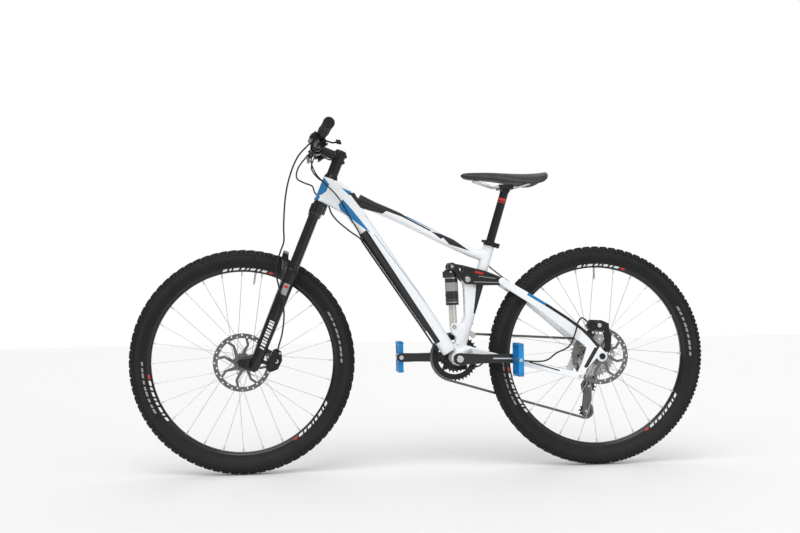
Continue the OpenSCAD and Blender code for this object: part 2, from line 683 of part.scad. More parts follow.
// spokes cross in pairs; flange_r and flange_y differ from side to side
module wheel_spokes(left_r, left_y, right_r, right_y) {
    per_side = spoke_count / 2;
    step = 360 / per_side;
    color(silver_c) for (i = [0 : spoke_count - 1]) {
        left = i % 2 == 0;
        slot = floor(i / 2);
        lean = slot % 2 == 0 ? 62 : -62;
        rim_a = slot * step + (left ? 0 : step / 2);
        hub_r = (left ? left_r : right_r) + 0.2;
        weave = slot % 2 == 0 ? 1.1 : -1.1;
        hub_y = (left ? left_y : right_y) + 2 * weave;
        hub_a = rim_a + lean;
        rim_y = (left ? 3 : -3) + weave;
        a = [hub_r * cos(hub_a), hub_y, hub_r * sin(hub_a)];
        b = [(rim_bed_r - 0.3) * cos(rim_a), rim_y, (rim_bed_r - 0.3) * sin(rim_a)];
        along = unit(b - a);
        rod(a, b - 12 * along, 0.9);
        rod(b - 12 * along, b, 2.2);
    }
}

// a hub shell: rows of [y, radius], with a bore through it
module hub_shell(rows, bore) {
    last = len(rows) - 1;
    outline = concat([[bore, rows[0][0]]], [for (q = rows) [q[1], q[0]]], [[bore, rows[last][0]]]);
    color(black_c) along_y() rotate_extrude() polygon(outline);
}

front_hub_rows = [[-50, 10], [-42, 10], [-38, 15], [-33, 17], [-32, 22], [-29, 22], [-27, 14],
    [20, 14], [22, 28], [25, 28], [27, 18], [36, 20], [37.4, 22], [37.4, 12], [45, 10], [50, 10]];
rear_hub_rows = [[-71, 8.5], [-24.5, 8.5], [-23, 22], [-20, 24], [-17, 24], [-15, 17], [28, 17],
    [30, 28], [33, 28], [35, 19], [50, 20], [51.4, 22], [51.4, 12], [62, 10], [71, 10]];

module rotor() {
    arms = 8;
    color(silver_c) translate([0, 1, 0]) rotate([90, 0, 0]) linear_extrude(2) difference() {
        circle(r = rotor_r, $fn = 96);
        circle(r = 12.2);
        difference() {
            circle(r = rotor_r - 15, $fn = 96);
            circle(r = 27);
            for (i = [0 : arms - 1]) rotate(i * 360 / arms)
                polygon([[18, -6], [24, -6], [54, 14], [84, 8], [84, 16], [54, 22], [20, 6]]);
        }
        for (i = [0 : 31]) rotate(i * 360 / 32) translate([rotor_r - (i % 2 == 0 ? 5 : 10.5), 0])
            circle(r = 2.6, $fn = 16);
        for (i = [0 : 5]) rotate(i * 60) translate([19.5, 0]) circle(r = 1.6, $fn = 12);
    }
}

module front_tyre() at_front_axle() wheel_tyre();
module front_rim() at_front_axle() wheel_rim();
module front_spokes() at_front_axle() wheel_spokes(28, 23.5, 22, -30.5);
module front_hub() at_front_axle() hub_shell(front_hub_rows, 7.5 + bore_gap);
module front_rotor() at_front_axle() translate([0, rotor_front_y, 0]) rotor();
module rear_tyre() at_rear_axle() wheel_tyre();
module rear_rim() at_rear_axle() wheel_rim();
module rear_spokes() at_rear_axle() wheel_spokes(28, 31.5, 24, -18.5);
module rear_hub() at_rear_axle() hub_shell(rear_hub_rows, 6 + bore_gap);
module rear_rotor() at_rear_axle() translate([0, rotor_rear_y, 0]) rotor();

// ================= rear triangle =================

// a stay is its side outline crossed with its outline from above
function side_edge(rows, s) = [for (q = rows) [q[0], q[2] + s * q[3]]];
function top_edge(rows, s) = [for (q = rows) [q[0], q[1] + s * q[4]]];
function turned(list) = [for (i = [len(list) - 1 : -1 : 0]) list[i]];
module stay(rows) {
    intersection() {
        side_plate(concat(side_edge(rows, 1), turned(side_edge(rows, -1))), 0, 120);
        linear_extrude(900) polygon(concat(top_edge(rows, 1), turned(top_edge(rows, -1))));
    }
}

module chainstay() {
    color(white_c)
    union() {
        difference() {
            union() {
                both_sides() {
                    stay(chainstay_rows);
                    y_cyl(main_pivot_p, 14, 24.5, 34.5);
                    side_plate([[-148, 386], [-148, 358], [-176, 352], [-178, 377]], 24.5, 34.5);
                    y_cyl(stay_pivot_p, 12, 80.1, 88);
                }
                side_plate([[-166, 378], [-162, 356], [-200, 347], [-204, 368]], -34, 34);
            }
            y_cyl(main_pivot_p, 16, -24.4, 24.4);
        }
        y_cyl(main_pivot_p, 7.5, -37, 37);
        both_sides() y_cyl(stay_pivot_p, 5, rear_face + 0.3, 88);
        both_sides() y_cyl(stay_pivot_p, 8, 88, 90.5);
    }
}

module seatstay() {
    bridge_p = [-276.3, 0, 572.4];
    color(white_c)
    difference() {
        union() {
            both_sides() {
                stay(seatstay_rows);
                side_plate(dropout_outline, rear_face, rear_face + stay_plate);
                y_cyl(rear_axle_p, 17, rear_face, rear_face + stay_plate);
                y_cyl(stay_pivot_p, 12, rear_face, rear_face + stay_plate);
                y_cyl(rocker_rear_p, 12, 32.5, 42.5);
                y_cyl(rocker_rear_p, 7, 42.5, 44.5);
            }
            y_cyl(bridge_p, 7, -38, 38);
            side_plate([[-572, 338], [-556, 334], [-560, 316], [-570, 308], [-582, 314], [-580, 330]],
                -rear_face - 7, -rear_face);
        }
        y_cyl(rear_axle_p, 6, -90, 90);
        y_cyl(stay_pivot_p, 5 + bore_gap, -90, 90);
        y_cyl([-572, 0, 320], 5 + bore_gap, -90, -60);
    }
}

module rear_axle() {
    color(black_c) at_rear_axle() union() {
        y_cyl([0, 0, 0], 6, -rear_face - stay_plate, rear_face + stay_plate);
        both_sides() y_cyl([0, 0, 0], 9.5, rear_face + stay_plate, rear_face + stay_plate + 4);
    }
}

module rear_caliper() {
    outline = [[-592, 428], [-588, 452], [-566, 462], [-530, 464], [-518, 446], [-526, 432],
        [-548, 430]];
    adapter = [[-584, 352], [-594, 372], [-597, 412], [-590, 432], [-574, 432], [-579, 398],
        [-573, 374], [-575, 354]];
    leg = [[-544, 436], [-526, 436], [-520, 416], [-528, 404], [-540, 414]];
    color(black_c)
    difference() {
        union() {
            side_plate(outline, 42, 66);
            y_cyl([-558, 0, 446], 13, 39, 68);
            side_plate(adapter, 58, 66);
            side_plate(leg, 62, rear_face - 0.4);
            y_cyl([-579, 0, 359], 5, 60, rear_face, $fn = small_fn);
        }
        y_cyl(rear_axle_p, rotor_r + 2, rotor_rear_y - 2.5, rotor_rear_y + 2.5);
    }
}

module rocker() {
    color(black_c)
    difference() {
        union() {
            both_sides() {
                side_plate(rocker_outline, rocker_in, rocker_out);
                y_cyl(shock_top_p, 13, rocker_in, rocker_out);
                y_cyl(rocker_pivot_p, 15, rocker_in, rocker_out);
                y_cyl(rocker_rear_p, 12, rocker_in, rocker_out);
                y_cyl(rocker_pivot_p, 12, 20.2, rocker_in);
                y_cyl(shock_top_p, 8.5, 12.5, rocker_in);
                y_cyl(rocker_pivot_p, 11, rocker_out, rocker_out + 3);
                y_cyl(shock_top_p, 7, rocker_out, rocker_out + 2.5);
            }
            y_cyl(rocker_pivot_p, 7.5, -rocker_out, rocker_out);
        }
        both_sides() y_cyl([-126, 0, 629], 6.5, 10, 60);
    }
}

module shock_frame()
    translate(shock_low_p) rotate([0, shock_lean, 0]) children();

module shock_shaft() {
    color(silver_c)
    shock_frame() union() {
        along_y() cylinder(h = 25.6, r = 10, center = true);
        along_y() cylinder(h = 40, r = 4, center = true, $fn = small_fn);
        both_sides() translate([0, 19.2, 0]) along_y() cylinder(h = 3, r = 7, $fn = small_fn);
        cylinder(h = 122, r = 12, $fn = cyl_fn);
    }
}

module shock_body() {
    low = shock_len - 122;
    color(black_c)
    shock_frame() difference() {
        union() {
            translate([0, 0, shock_len]) along_y() cylinder(h = 24.6, r = 10, center = true);
            translate([0, 0, shock_len - 14]) cube([19, 22, 16], center = true);
            translate([0, 0, low]) cylinder(h = 104, r = 20.5, $fn = cyl_fn);
            translate([0, 0, low + 30]) cylinder(h = 4, r = 21.4, $fn = cyl_fn);
            translate([20, 0, shock_len - 34]) cylinder(h = 20, r = 7, $fn = small_fn);
            translate([10, 0, shock_len - 14]) cube([20, 12, 10], center = true);
        }
        translate([0, 0, low - 1]) cylinder(h = 108, r = 12 + bore_gap, $fn = cyl_fn);
        translate([0, 0, low + 6]) cylinder(h = 92, r = 17.5, $fn = cyl_fn);
    }
}

// ================= drive =================

// a toothed disc round Z: root just below the chain's rollers, teeth between them
module toothed(teeth, thick, phase) {
    pr = chain_pitch / 2 / sin(180 / teeth);
    root = pr - 4.2;
    step = 360 / teeth;
    points = [for (k = [0 : teeth - 1]) let (a = phase + (k + 0.5) * step,
        half = asin(3.3 / root), tip = asin(0.8 / (pr + 2)))
        each [[root * cos(a - half), root * sin(a - half)],
            [(pr + 2) * cos(a - tip), (pr + 2) * sin(a - tip)],
            [(pr + 2) * cos(a + tip), (pr + 2) * sin(a + tip)],
            [root * cos(a + half), root * sin(a + half)]]];
    linear_extrude(thick) polygon(points);
}

// the angle, seen from the left, at which a straight run leaves or joins a circle
function tangent_turn(c1, r1, c2, r2, sign1) =
    let (d = c2 - c1, base = atan2(d[2], d[0]), off = acos((r1 - r2) / norm(d)))
    base + sign1 * off;
upper_a = tangent_turn(rear_axle_p, cog_pr, bb_p, ring_pr, 1);
lower_a = tangent_turn(pulley_low_p, pulley_pr, bb_p, ring_pr, -1);

// mirrored so that the outline, drawn in [x, z], ends up in the bike's side view
module chain_disc(p, y, teeth, thick, phase)
    translate([p[0], y + thick / 2, p[2]]) rotate([90, 0, 0]) toothed(teeth, thick, phase);

module chainrings() {
    color(black_c) {
        difference() {
            chain_disc(bb_p, ring_y, ring_teeth, 2, upper_a);
            y_cyl(bb_p, 58.5, -70, -40);
            chain_room(chain_front, ring_y, end_of(chain_cog), chain_lower[0]);
        }
        difference() {
            union() {
                y_cyl(bb_p, 61, ring_y - 1, ring_y + 1);
                for (i = [0 : 3]) rotate_about_bb(45 + 90 * i)
                    translate([53, ring_y, 0]) cube([16, 2, 16], center = true);
            }
            y_cyl(bb_p, 55, -70, -40);
        }
        difference() {
            chain_disc(bb_p, -44.4, 24, 2, 0);
            y_cyl(bb_p, 23, -70, -40);
        }
        for (i = [0 : 3]) rotate_about_bb(45 + 90 * i) {
            y_cyl([34, 0, 0], 5, -47.3, -43.4);
        }
    }
}
module rotate_about_bb(a) translate(bb_p) rotate([0, -a, 0]) children();

// rows of [distance from the centre, sideways place, half depth, half width]
arm_rows = [[-19, 59.5, 8, 7], [-12, 59.5, 16, 8.5], [0, 60, 19, 9.2], [30, 64, 17, 8],
    [70, 69, 14.5, 7.4], [120, 74, 13.5, 7], [162, 77, 14.5, 6.6], [178, 77, 12, 6],
    [185, 77, 6, 5]];
module crank_arm(rows) {
    high = [for (q = rows) [q[0], q[2]]];
    low = [for (q = rows) [q[0], -q[2]]];
    out = [for (q = rows) [q[0], q[1] + q[3]]];
    back = [for (q = rows) [q[0], q[1] - q[3]]];
    intersection() {
        side_plate(concat(high, turned(low)), 40, 100);
        translate([0, 0, -30]) linear_extrude(60) polygon(concat(out, turned(back)));
    }
}

module crank_left() {
    color(grey_c)
    difference() {
        translate(bb_p) union() {
            mirror([1, 0, 0]) crank_arm(arm_rows);
            y_cyl([0, 0, 0], 17, 46.2, 62);
            y_cyl([0, 0, 0], 11, 66, 70.5);
        }
        y_cyl(bb_p, 12, 40, 66);
        y_cyl(bb_p - [crank_len, 0, 0], 7, 60, 90);
    }
}

module crank_right() {
    color(grey_c)
    difference() {
        union() {
            translate(bb_p) mirror([0, 1, 0]) difference() {
                crank_arm(arm_rows);
                y_cyl([0, 0, 0], 84, 40, 54.6);
            }
            y_cyl(bb_p, 17, -62, -46.2);
            y_cyl(bb_p, 12, -60, 66);
            for (i = [0 : 3]) rotate_about_bb(45 + 90 * i) {
                side_plate([[5, -10], [40, -9], [50, -6], [50, 6], [40, 9], [5, 10]], -50.6, -47.4);
                y_cyl([50, 0, 0], 6, -50.6, -47.4);
            }
        }
        y_cyl(bb_p + [crank_len, 0, 0], 7, -90, -60);
    }
}

module pedal_spindles() {
    color(silver_c) for (side = [1, -1]) {
        p = bb_p - [side * crank_len, 0, 0];
        y0 = side > 0 ? 70 : -180;
        y1 = side > 0 ? 180 : -70;
        y_cyl(p, 5.5, y0, y1, $fn = small_fn);
        if (side > 0) y_cyl(p, 7, 69, 86, $fn = small_fn);
        if (side < 0) y_cyl(p, 7, -86, -69, $fn = small_fn);
    }
}

// a platform pedal standing on edge, open on both sides of its axle
pedal_h = 100;
pedal_w = 94;
pedal_t = 16;
module pedal(side) {
    p = bb_p - [side * crank_len, 0, 0];
    mid = 88 + pedal_w / 2;
    color(blue_c)
    translate([p[0], 0, p[2]]) mirror([0, side > 0 ? 0 : 1, 0]) translate([0, mid, 0]) {
        difference() {
            union() {
                difference() {
                    cube([pedal_t, pedal_w, pedal_h], center = true);
                    for (s = [-1, 1]) {
                        for (y = [-1, 1]) translate([0, y * 22.5, s * 25])
                            cube([pedal_t + 2, 33, 30], center = true);
                        for (y = [-1, 1]) translate([0, y * 50, s * 50]) rotate([45, 0, 0])
                            cube([pedal_t + 2, 14, 14], center = true);
                    }
                }
                along_y() cylinder(h = pedal_w, r = 9.5, center = true);
                for (x = [-1, 1]) for (z = [-45, 45]) for (y = [-30, -10, 10, 30])
                    translate([x * (pedal_t / 2 + 1), y, z]) rotate([0, 90, 0])
                        cylinder(h = 4, r = 2, center = true, $fn = 12);
            }
            along_y() cylinder(h = pedal_w + 10, r = 5.5 + bore_gap, center = true);
        }
    }
}
module pedal_left() pedal(1);
module pedal_right() pedal(-1);

module cassette() {
    teeth = [36, 32, 28, 24, 21, 19, 17, 15, 13, 11];
    color(silver_c)
    difference() {
        union() {
            for (i = [0 : 9])
                chain_disc(rear_axle_p, -27 - 3.95 * i, teeth[i], 1.8, teeth[i] == cog_teeth ? upper_a : 0);
            y_cyl(rear_axle_p, 17, -66, -26);
        }
        y_cyl(rear_axle_p, 8.5 + bore_gap, -90, 0);
        chain_room(chain_cog, cog_y, end_of(chain_upper), chain_front[0]);
        for (i = [0 : 5]) rotate_at(rear_axle_p, i * 60) {
            y_cyl([55, 0, 0], 9, -28, -26);
            y_cyl([49, 0, 0], 8, -32.5, -30);
            y_cyl([42, 0, 0], 6, -36.4, -33.5);
        }
    }
}
module rotate_at(p, a) translate(p) rotate([0, -a, 0]) children();

module front_derailleur() {
    color(black_c)
    union() {
        side_plate([[-168, 452], [-140, 456], [-136, 470], [-150, 476], [-170, 466]], -42, -20);
        y_cyl([-142, 0, 464], 5, -45, -20, $fn = small_fn);
    }
}

module fd_cage() {
    wedge = [[-112, 348], [-122, 470], [-200, 470], [-200, 432]];
    bridge = [[-112, 348], [-122, 470], [-184, 470]];
    link = [[-162, 430], [-146, 434], [-146, 451.6], [-162, 451.2]];
    color(black_c) union() {
        for (y = [[-46.2, -45], [-58, -56.8]]) intersection() {
            difference() {
                y_cyl(bb_p, 100, y[0], y[1]);
                y_cyl(bb_p, 84, y[0] - 1, y[1] + 1);
            }
            side_plate(wedge, -60, -40);
        }
        intersection() {
            difference() {
                y_cyl(bb_p, 100, -58, -45);
                y_cyl(bb_p, 98.6, -60, -40);
            }
            side_plate(bridge, -60, -40);
        }
        side_plate(link, -46, -34);
    }
}

module rd_body() {
    link_side = [[-586, 318], [-590, 296], [-584, 266], [-566, 244], [-548, 234], [-536, 246],
        [-548, 258], [-560, 272], [-564, 292], [-560, 312]];
    link_top = [[-592, -84], [-570, -84], [-534, -60], [-534, -50], [-552, -50], [-592, -70]];
    color(black_c)
    difference() {
        union() {
            intersection() {
                side_plate(link_side, -90, -40);
                translate([0, 0, 200]) linear_extrude(140) polygon(link_top);
            }
            y_cyl([-572, 0, 320], 10, -84, -rear_face - 7.3);
            y_cyl(pulley_up_p, 13, -58, -45.8);
        }
        side_plate([[-600, 380], [-540, 380], [-540, 300], [-600, 300]], -rear_face - 7.3, -60);
        y_cyl(pulley_up_p, 5 + bore_gap, -52, -40);
    }
}

module rd_cage() {
    plate = [[-560, 250], [-552, 258], [-540, 257], [-534, 246], [-525, 172], [-527, 156], [-538, 150],
        [-549, 158], [-552, 172]];
    color(black_c) union() {
        difference() {
            side_plate(plate, -45.4, -43.6);
            y_cyl([-543, 0, 206], 7, -50, -40);
        }
        side_plate(plate, -34.2, -32.6);
        for (p = [pulley_up_p, pulley_low_p]) y_cyl(p, 4, -45, -33, $fn = small_fn);
        y_cyl(pulley_up_p, 5, -51, -44);
    }
}

module pulley(p, phase, rollers, before, after) {
    color(black_c) difference() {
        chain_disc(p, cog_y, pulley_teeth, 2.4, phase);
        y_cyl(p, 4 + bore_gap, -60, 0, $fn = small_fn);
        chain_room(rollers, cog_y, before, after);
        for (i = [0 : 4]) rotate_at(p, i * 72) y_cyl([11.5, 0, 0], 3, -60, 0, $fn = small_fn);
    }
}

// ---- chain: points down each straight run and round each toothed wheel ----
function arc_pts(c, r, a0, a1, teeth) =
    let (step = 360 / teeth, n = max(1, round(abs(a1 - a0) / step)), s = sign(a1 - a0))
    [for (k = [0 : n]) c + r * [cos(a0 + s * k * (abs(a1 - a0) / n)), 0, sin(a0 + s * k * (abs(a1 - a0) / n))]];
function run_pts(p, q) =
    let (n = max(1, round(norm(q - p) / chain_pitch)))
    [for (k = [1 : n - 1]) p + (q - p) * k / n];
function shift_y(pts, y) = [for (q = pts) [q[0], y, q[2]]];
function circle_pt(c, r, a) = c + r * [cos(a), 0, sin(a)];

// round the front ring from its top, forward and under, to its bottom
ring_steps = round((upper_a - (lower_a - 0)) / (360 / ring_teeth));
ring_arc = [for (k = [0 : ring_steps]) let (a = upper_a - k * 360 / ring_teeth)
    circle_pt(bb_p, ring_pr, a)];
low_start = circle_pt(pulley_low_p, pulley_pr, lower_a);
low_lead = atan2(pulley_up_p[2] - pulley_low_p[2], pulley_up_p[0] - pulley_low_p[0]);
cross_off = acos(2 * pulley_pr / norm(pulley_up_p - pulley_low_p));
low_end_a = low_lead + cross_off - 360;
up_start_a = low_lead + cross_off - 180;
cog_lead = atan2(rear_axle_p[2] - pulley_up_p[2], rear_axle_p[0] - pulley_up_p[0]);
cog_off = acos((pulley_pr + cog_pr) / norm(rear_axle_p - pulley_up_p));
up_end_a = cog_lead - cog_off;
cog_start_a = cog_lead - cog_off + 180;
chain_lower = concat(shift_y(arc_pts(pulley_low_p, pulley_pr, lower_a, low_end_a, pulley_teeth), cog_y));
chain_upper = shift_y(arc_pts(pulley_up_p, pulley_pr, up_start_a, up_end_a, pulley_teeth), cog_y);
cog_steps = floor((cog_start_a - upper_a) / (360 / cog_teeth));
chain_cog = [for (k = [cog_steps : -1 : 0])
    let (q = circle_pt(rear_axle_p, cog_pr, upper_a + k * 360 / cog_teeth)) [q[0], cog_y, q[2]]];
chain_front = shift_y(ring_arc, ring_y);
function closing_run(a, b) = let (p = a[len(a) - 1], q = b[0]) run_pts(p, q);
chain_points = concat(chain_front, closing_run(chain_front, chain_lower), chain_lower,
    closing_run(chain_lower, chain_upper), chain_upper, closing_run(chain_upper, chain_cog),
    chain_cog, closing_run(chain_cog, chain_front));

// teeth are relieved round each roller, and more where the chain leaves a wheel at an angle
module chain_room(rollers, y, before, after) {
    last = len(rollers) - 1;
    for (q = rollers) y_cyl(q, 3.75, y - 1.7, y + 1.7, $fn = small_fn);
    link_room(rollers[0], before);
    link_room(rollers[last], after);
}

// a clear lane along the first two links of a straight run that starts at p and ends at q
module link_room(p, q) {
    n = max(1, round(norm(q - p) / chain_pitch));
    d = (q - p) / n;
    translate(p) rotate([0, -atan2(d[2], d[0]), 0]) rotate([0, 0, atan2(d[1], norm([d[0], d[2]]))])
        translate([-3.8, -3.3, -4.15]) cube([2 * norm(d) + 8, 6.6, 9]);
}

function end_of(points) = points[len(points) - 1];

module chain_link(p, q, wide) {
    d = q - p;
    length = norm(d);
    turn = atan2(d[2], d[0]);
    swing = atan2(d[1], norm([d[0], d[2]]));
    half = wide ? 2.9 : 2.1;
    translate(p) rotate([0, -turn, 0]) rotate([0, 0, swing]) {
        for (y = [-half, half - 0.8]) translate([0, y + 0.8, 0]) rotate([90, 0, 0])
            linear_extrude(0.8) polygon([[-3, -2.6], [0, -3.8], [length, -3.8],
                [length + 3, -2.6], [length + 3, 2.6], [length, 3.8], [0, 3.8], [-3, 2.6]]);
        along_y() cylinder(h = 2 * half - 0.2, r = 3.6, center = true);
    }
}

module chain() {
    n = len(chain_points);
    color(grey_c) for (i = [0 : n - 1])
        chain_link(chain_points[i], chain_points[(i + 1) % n], i % 2 == 0);
}

module pulley_upper() pulley(pulley_up_p, up_start_a, chain_upper, end_of(chain_lower), chain_cog[0]);
module pulley_lower() pulley(pulley_low_p, lower_a, chain_lower, end_of(chain_front), chain_upper[0]);

// ================= hoses and cables =================

module brake_hoses() color(black_c) {
    hose(front_hose_route, hose_r);
    hose(rear_hose_route, hose_r);
}

module shift_cables() color(black_c) {
    hose(front_cable_route, cable_r);
    hose(rear_cable_route, cable_r);
}

head_tube();
top_tube();
down_tube();
tube_guard();
seat_tube();
pivot_strut();
bb_shell();
seat_collar();
front_derailleur();
fd_cage();
seat_lever();
seatpost();
saddle();
saddle_rails();
fork_crown();
steerer_spacers();
stem();
handlebar();
grips();
control_left();
control_right();
brake_blade_left();
brake_blade_right();
shift_paddle_left();
shift_paddle_right();
fork_lowers();
front_caliper();
front_axle();
front_tyre();
front_rim();
front_spokes();
front_hub();
front_rotor();
chainstay();
seatstay();
rear_axle();
rear_caliper();
rear_tyre();
rear_rim();
rear_spokes();
rear_hub();
rear_rotor();
cassette();
rocker();
shock_shaft();
shock_body();
crank_left();
crank_right();
chainrings();
pedal_spindles();
pedal_left();
pedal_right();
rd_body();
rd_cage();
pulley_upper();
pulley_lower();
chain();
brake_hoses();
shift_cables();
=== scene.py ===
# Full-suspension mountain bike: looks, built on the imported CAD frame. Metres, +X forward, +Z up.
import bpy
import bmesh
import json
import math
from mathutils import Vector, Matrix
from mathutils.bvhtree import BVHTree


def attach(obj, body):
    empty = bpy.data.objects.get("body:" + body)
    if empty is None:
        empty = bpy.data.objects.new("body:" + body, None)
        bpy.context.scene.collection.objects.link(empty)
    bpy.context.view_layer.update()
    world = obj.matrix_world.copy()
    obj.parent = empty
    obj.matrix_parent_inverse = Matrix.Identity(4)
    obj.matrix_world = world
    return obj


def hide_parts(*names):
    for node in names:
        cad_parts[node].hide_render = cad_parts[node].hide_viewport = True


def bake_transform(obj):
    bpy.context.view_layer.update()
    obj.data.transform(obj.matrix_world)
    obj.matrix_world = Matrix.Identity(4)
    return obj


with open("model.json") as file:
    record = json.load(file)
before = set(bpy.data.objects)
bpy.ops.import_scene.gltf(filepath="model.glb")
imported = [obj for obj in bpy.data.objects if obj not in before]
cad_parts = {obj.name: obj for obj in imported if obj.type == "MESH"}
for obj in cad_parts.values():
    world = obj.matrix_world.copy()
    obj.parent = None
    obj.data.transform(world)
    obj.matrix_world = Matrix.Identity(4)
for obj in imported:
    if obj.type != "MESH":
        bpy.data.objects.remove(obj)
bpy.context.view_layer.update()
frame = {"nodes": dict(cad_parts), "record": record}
NODE = frame["nodes"]
BODY_OF = {n: b for b, names in frame["record"]["behaviour"]["bodies"].items() for n in names}

# ---------------- the CAD's main points, in millimetres ----------------
FRONT_AXLE = Vector((562, 0, 349))
REAR_AXLE = Vector((-562, 0, 349))
BB = Vector((-112, 0, 348))
STEER_FOOT = Vector((519.35, 0, 331.77))
SHOCK_TOP = Vector((-96, 0, 638))
SHOCK_LOW = Vector((-102, 0, 448))
# pivots and bolts in side view, as (x, z)
CRANK_AXIS = (-112, 348)
MAIN_PIVOT = (-148, 372)
DROPOUT_PIVOT = (-487, 289)
ROCKER_PIVOT = (-145, 596.5)
ROCKER_REAR = (-255, 589)
ROCKER_TOP = (-96, 638)
SHOCK_FOOT = (-102, 448)
UPPER_PULLEY = (-548, 246)
LOWER_PULLEY = (-537, 166)
# unit directions
UP_STEER = Vector((-0.374607, 0, 0.927184))
FORE_STEER = Vector((0.927184, 0, 0.374607))
UP_SEAT = Vector((-0.292372, 0, 0.956305))
ALONG_Y = Vector((0, 1, 0))
# the fork legs: how far ahead of the steering axis, and how far to each side
LEG_AHEAD = 6
LEG_SIDE = 66
# metres in a millimetre
MM = 0.001


def steer(x, y, s):
    """A point in the fork's own frame: x ahead of the steering axis, s up it."""
    return STEER_FOOT + FORE_STEER * x + ALONG_Y * y + UP_STEER * s


def turned(p, centre, angle):
    """p, in side view, swung round a centre by an angle counted from +X towards +Z."""
    c, s = math.cos(angle), math.sin(angle)
    dx, dz = p[0] - centre[0], p[2] - centre[2]
    return Vector((centre[0] + dx * c - dz * s, p[1], centre[2] + dx * s + dz * c))


# ---------------- materials ----------------
class Finish:
    """Builds one material's nodes round its Principled shader."""

    def __init__(self, name, color, rough, metal=0.0, coat=0.0, coat_rough=0.08, spec=0.28):
        self.mat = bpy.data.materials.new(name)
        self.mat.use_nodes = True
        self.tree = self.mat.node_tree
        self.shader = self.tree.nodes["Principled BSDF"]
        self.put("Base Color", (*color, 1.0))
        self.put("Roughness", rough)
        self.put("Metallic", metal)
        self.put("Coat Weight", coat)
        self.put("Coat Roughness", coat_rough)
        self.put("Specular IOR Level", spec)
        self.place = self.tree.nodes.new("ShaderNodeTexCoord").outputs["Object"]

    def put(self, socket, value):
        """Sets a socket of the Principled shader to a value, or links another node's output to it."""
        if hasattr(value, "node"):
            self.tree.links.new(value, self.shader.inputs[socket])
        else:
            self.shader.inputs[socket].default_value = value

    def node(self, kind, inputs, output=0, **settings):
        """Adds a node, sets or links its inputs, and gives one of its outputs."""
        made = self.tree.nodes.new(kind)
        for key, value in settings.items():
            setattr(made, key, value)
        for key, value in inputs.items():
            if hasattr(value, "node"):
                self.tree.links.new(value, made.inputs[key])
            else:
                made.inputs[key].default_value = value
        return made.outputs[output]

    def math(self, op, a, b=0.0, clamp=False):
        return self.node("ShaderNodeMath", {0: a, 1: b}, operation=op, use_clamp=clamp)

    def noise(self, scale, detail=2.0, rough=0.5):
        """Noise fixed to the piece; scale counts its lumps per metre."""
        return self.node("ShaderNodeTexNoise", {"Vector": self.place, "Scale": scale, "Detail": detail,
                                                "Roughness": rough})

    def span(self, value, low, high, a, b):
        """value carried from the range low..high to the range a..b."""
        return self.node("ShaderNodeMapRange", {"Value": value, "From Min": low, "From Max": high,
                                                "To Min": a, "To Max": b})

    def mix(self, share, a, b):
        """Colour a where share is 0, colour b where it is 1."""
        made = self.tree.nodes.new("ShaderNodeMix")
        made.data_type = "RGBA"
        for socket, value in ((made.inputs[0], share), (made.inputs[6], a), (made.inputs[7], b)):
            if hasattr(value, "node"):
                self.tree.links.new(value, socket)
            else:
                socket.default_value = value if isinstance(value, float) else (*value, 1.0)
        return made.outputs[2]

    def bump(self, height, strength, distance):
        self.put("Normal", self.node("ShaderNodeBump", {"Height": height, "Strength": strength,
                                                        "Distance": distance}))

    def inside(self, outline):
        """1 inside a convex outline of [x, z] millimetres seen from the side, 0 outside."""
        area = sum(a[0] * b[1] - b[0] * a[1] for a, b in zip(outline, outline[1:] + outline[:1]))
        least = None
        for a, b in zip(outline, outline[1:] + outline[:1]):
            run = Vector((b[0] - a[0], 0, b[1] - a[1])).normalized() * (1 if area > 0 else -1)
            inward = Vector((-run.z, 0, run.x))
            reach = inward.dot(Vector((a[0], 0, a[1]))) * MM
            dot = self.node("ShaderNodeVectorMath", {0: self.place, 1: inward}, output="Value",
                            operation="DOT_PRODUCT")
            edge = self.math("SUBTRACT", dot, reach)
            least = edge if least is None else self.math("MINIMUM", least, edge)
        edge_blur = 0.00012
        return self.span(least, -edge_blur, edge_blur, 0.0, 1.0)

    def any_of(self, outlines):
        """1 inside any of the outlines."""
        total = None
        for outline in outlines:
            mask = self.inside(outline)
            total = mask if total is None else self.math("MAXIMUM", total, mask)
        return total


WHITE = (0.83, 0.85, 0.87)
BLUE = (0.015, 0.17, 0.40)
INK = (0.012, 0.012, 0.014)
RED = (0.50, 0.02, 0.02)
# pale grey: the crank's real inlay, and the painted highlight lines along the rocker's edges
PALE_INLAY_AND_HIGHLIGHT = (0.55, 0.57, 0.6)


def painted(name, base=WHITE, blue_shapes=(), black_shapes=(), red_shapes=(), pale_and_highlight_shapes=()):
    """Glossy paint with flat shapes of other colours in it, drawn in side view; the pale shapes are a real
    grey inlay on the crank and painted highlight lines on the rocker.
    """
    f = Finish(name, base, 0.28, coat=0.35, coat_rough=0.05)
    tint = f.span(f.noise(9.0, 3.0), 0.3, 0.7, 0.0, 1.0)
    color = f.mix(tint, [c * 0.97 for c in base], base)
    for shapes, shade in ((pale_and_highlight_shapes, PALE_INLAY_AND_HIGHLIGHT), (blue_shapes, BLUE), (black_shapes, INK), (red_shapes, RED)):
        if shapes:
            color = f.mix(f.any_of(shapes), color, shade)
    f.put("Base Color", color)
    f.put("Roughness", f.span(f.noise(60.0, 4.0), 0.2, 0.8, 0.2, 0.34))
    f.bump(f.noise(260.0, 1.0), 0.02, 0.0001)
    return f.mat


def alloy(name, color, rough, metal=0.85, coat=0.0):
    """Metal with uneven shine and a fine grain."""
    f = Finish(name, color, rough, metal=metal, coat=coat)
    streak = f.noise(140.0, 3.0, 0.6)
    f.put("Roughness", f.span(streak, 0.25, 0.75, rough * 0.8, rough * 1.3))
    f.put("Base Color", f.mix(f.span(f.noise(35.0, 3.0), 0.3, 0.7, 0.0, 1.0),
                              [c * 0.85 for c in color], [min(1, c * 1.12) for c in color]))
    f.bump(f.noise(1600.0, 2.0, 0.5), 0.05, 0.0003)
    return f.mat


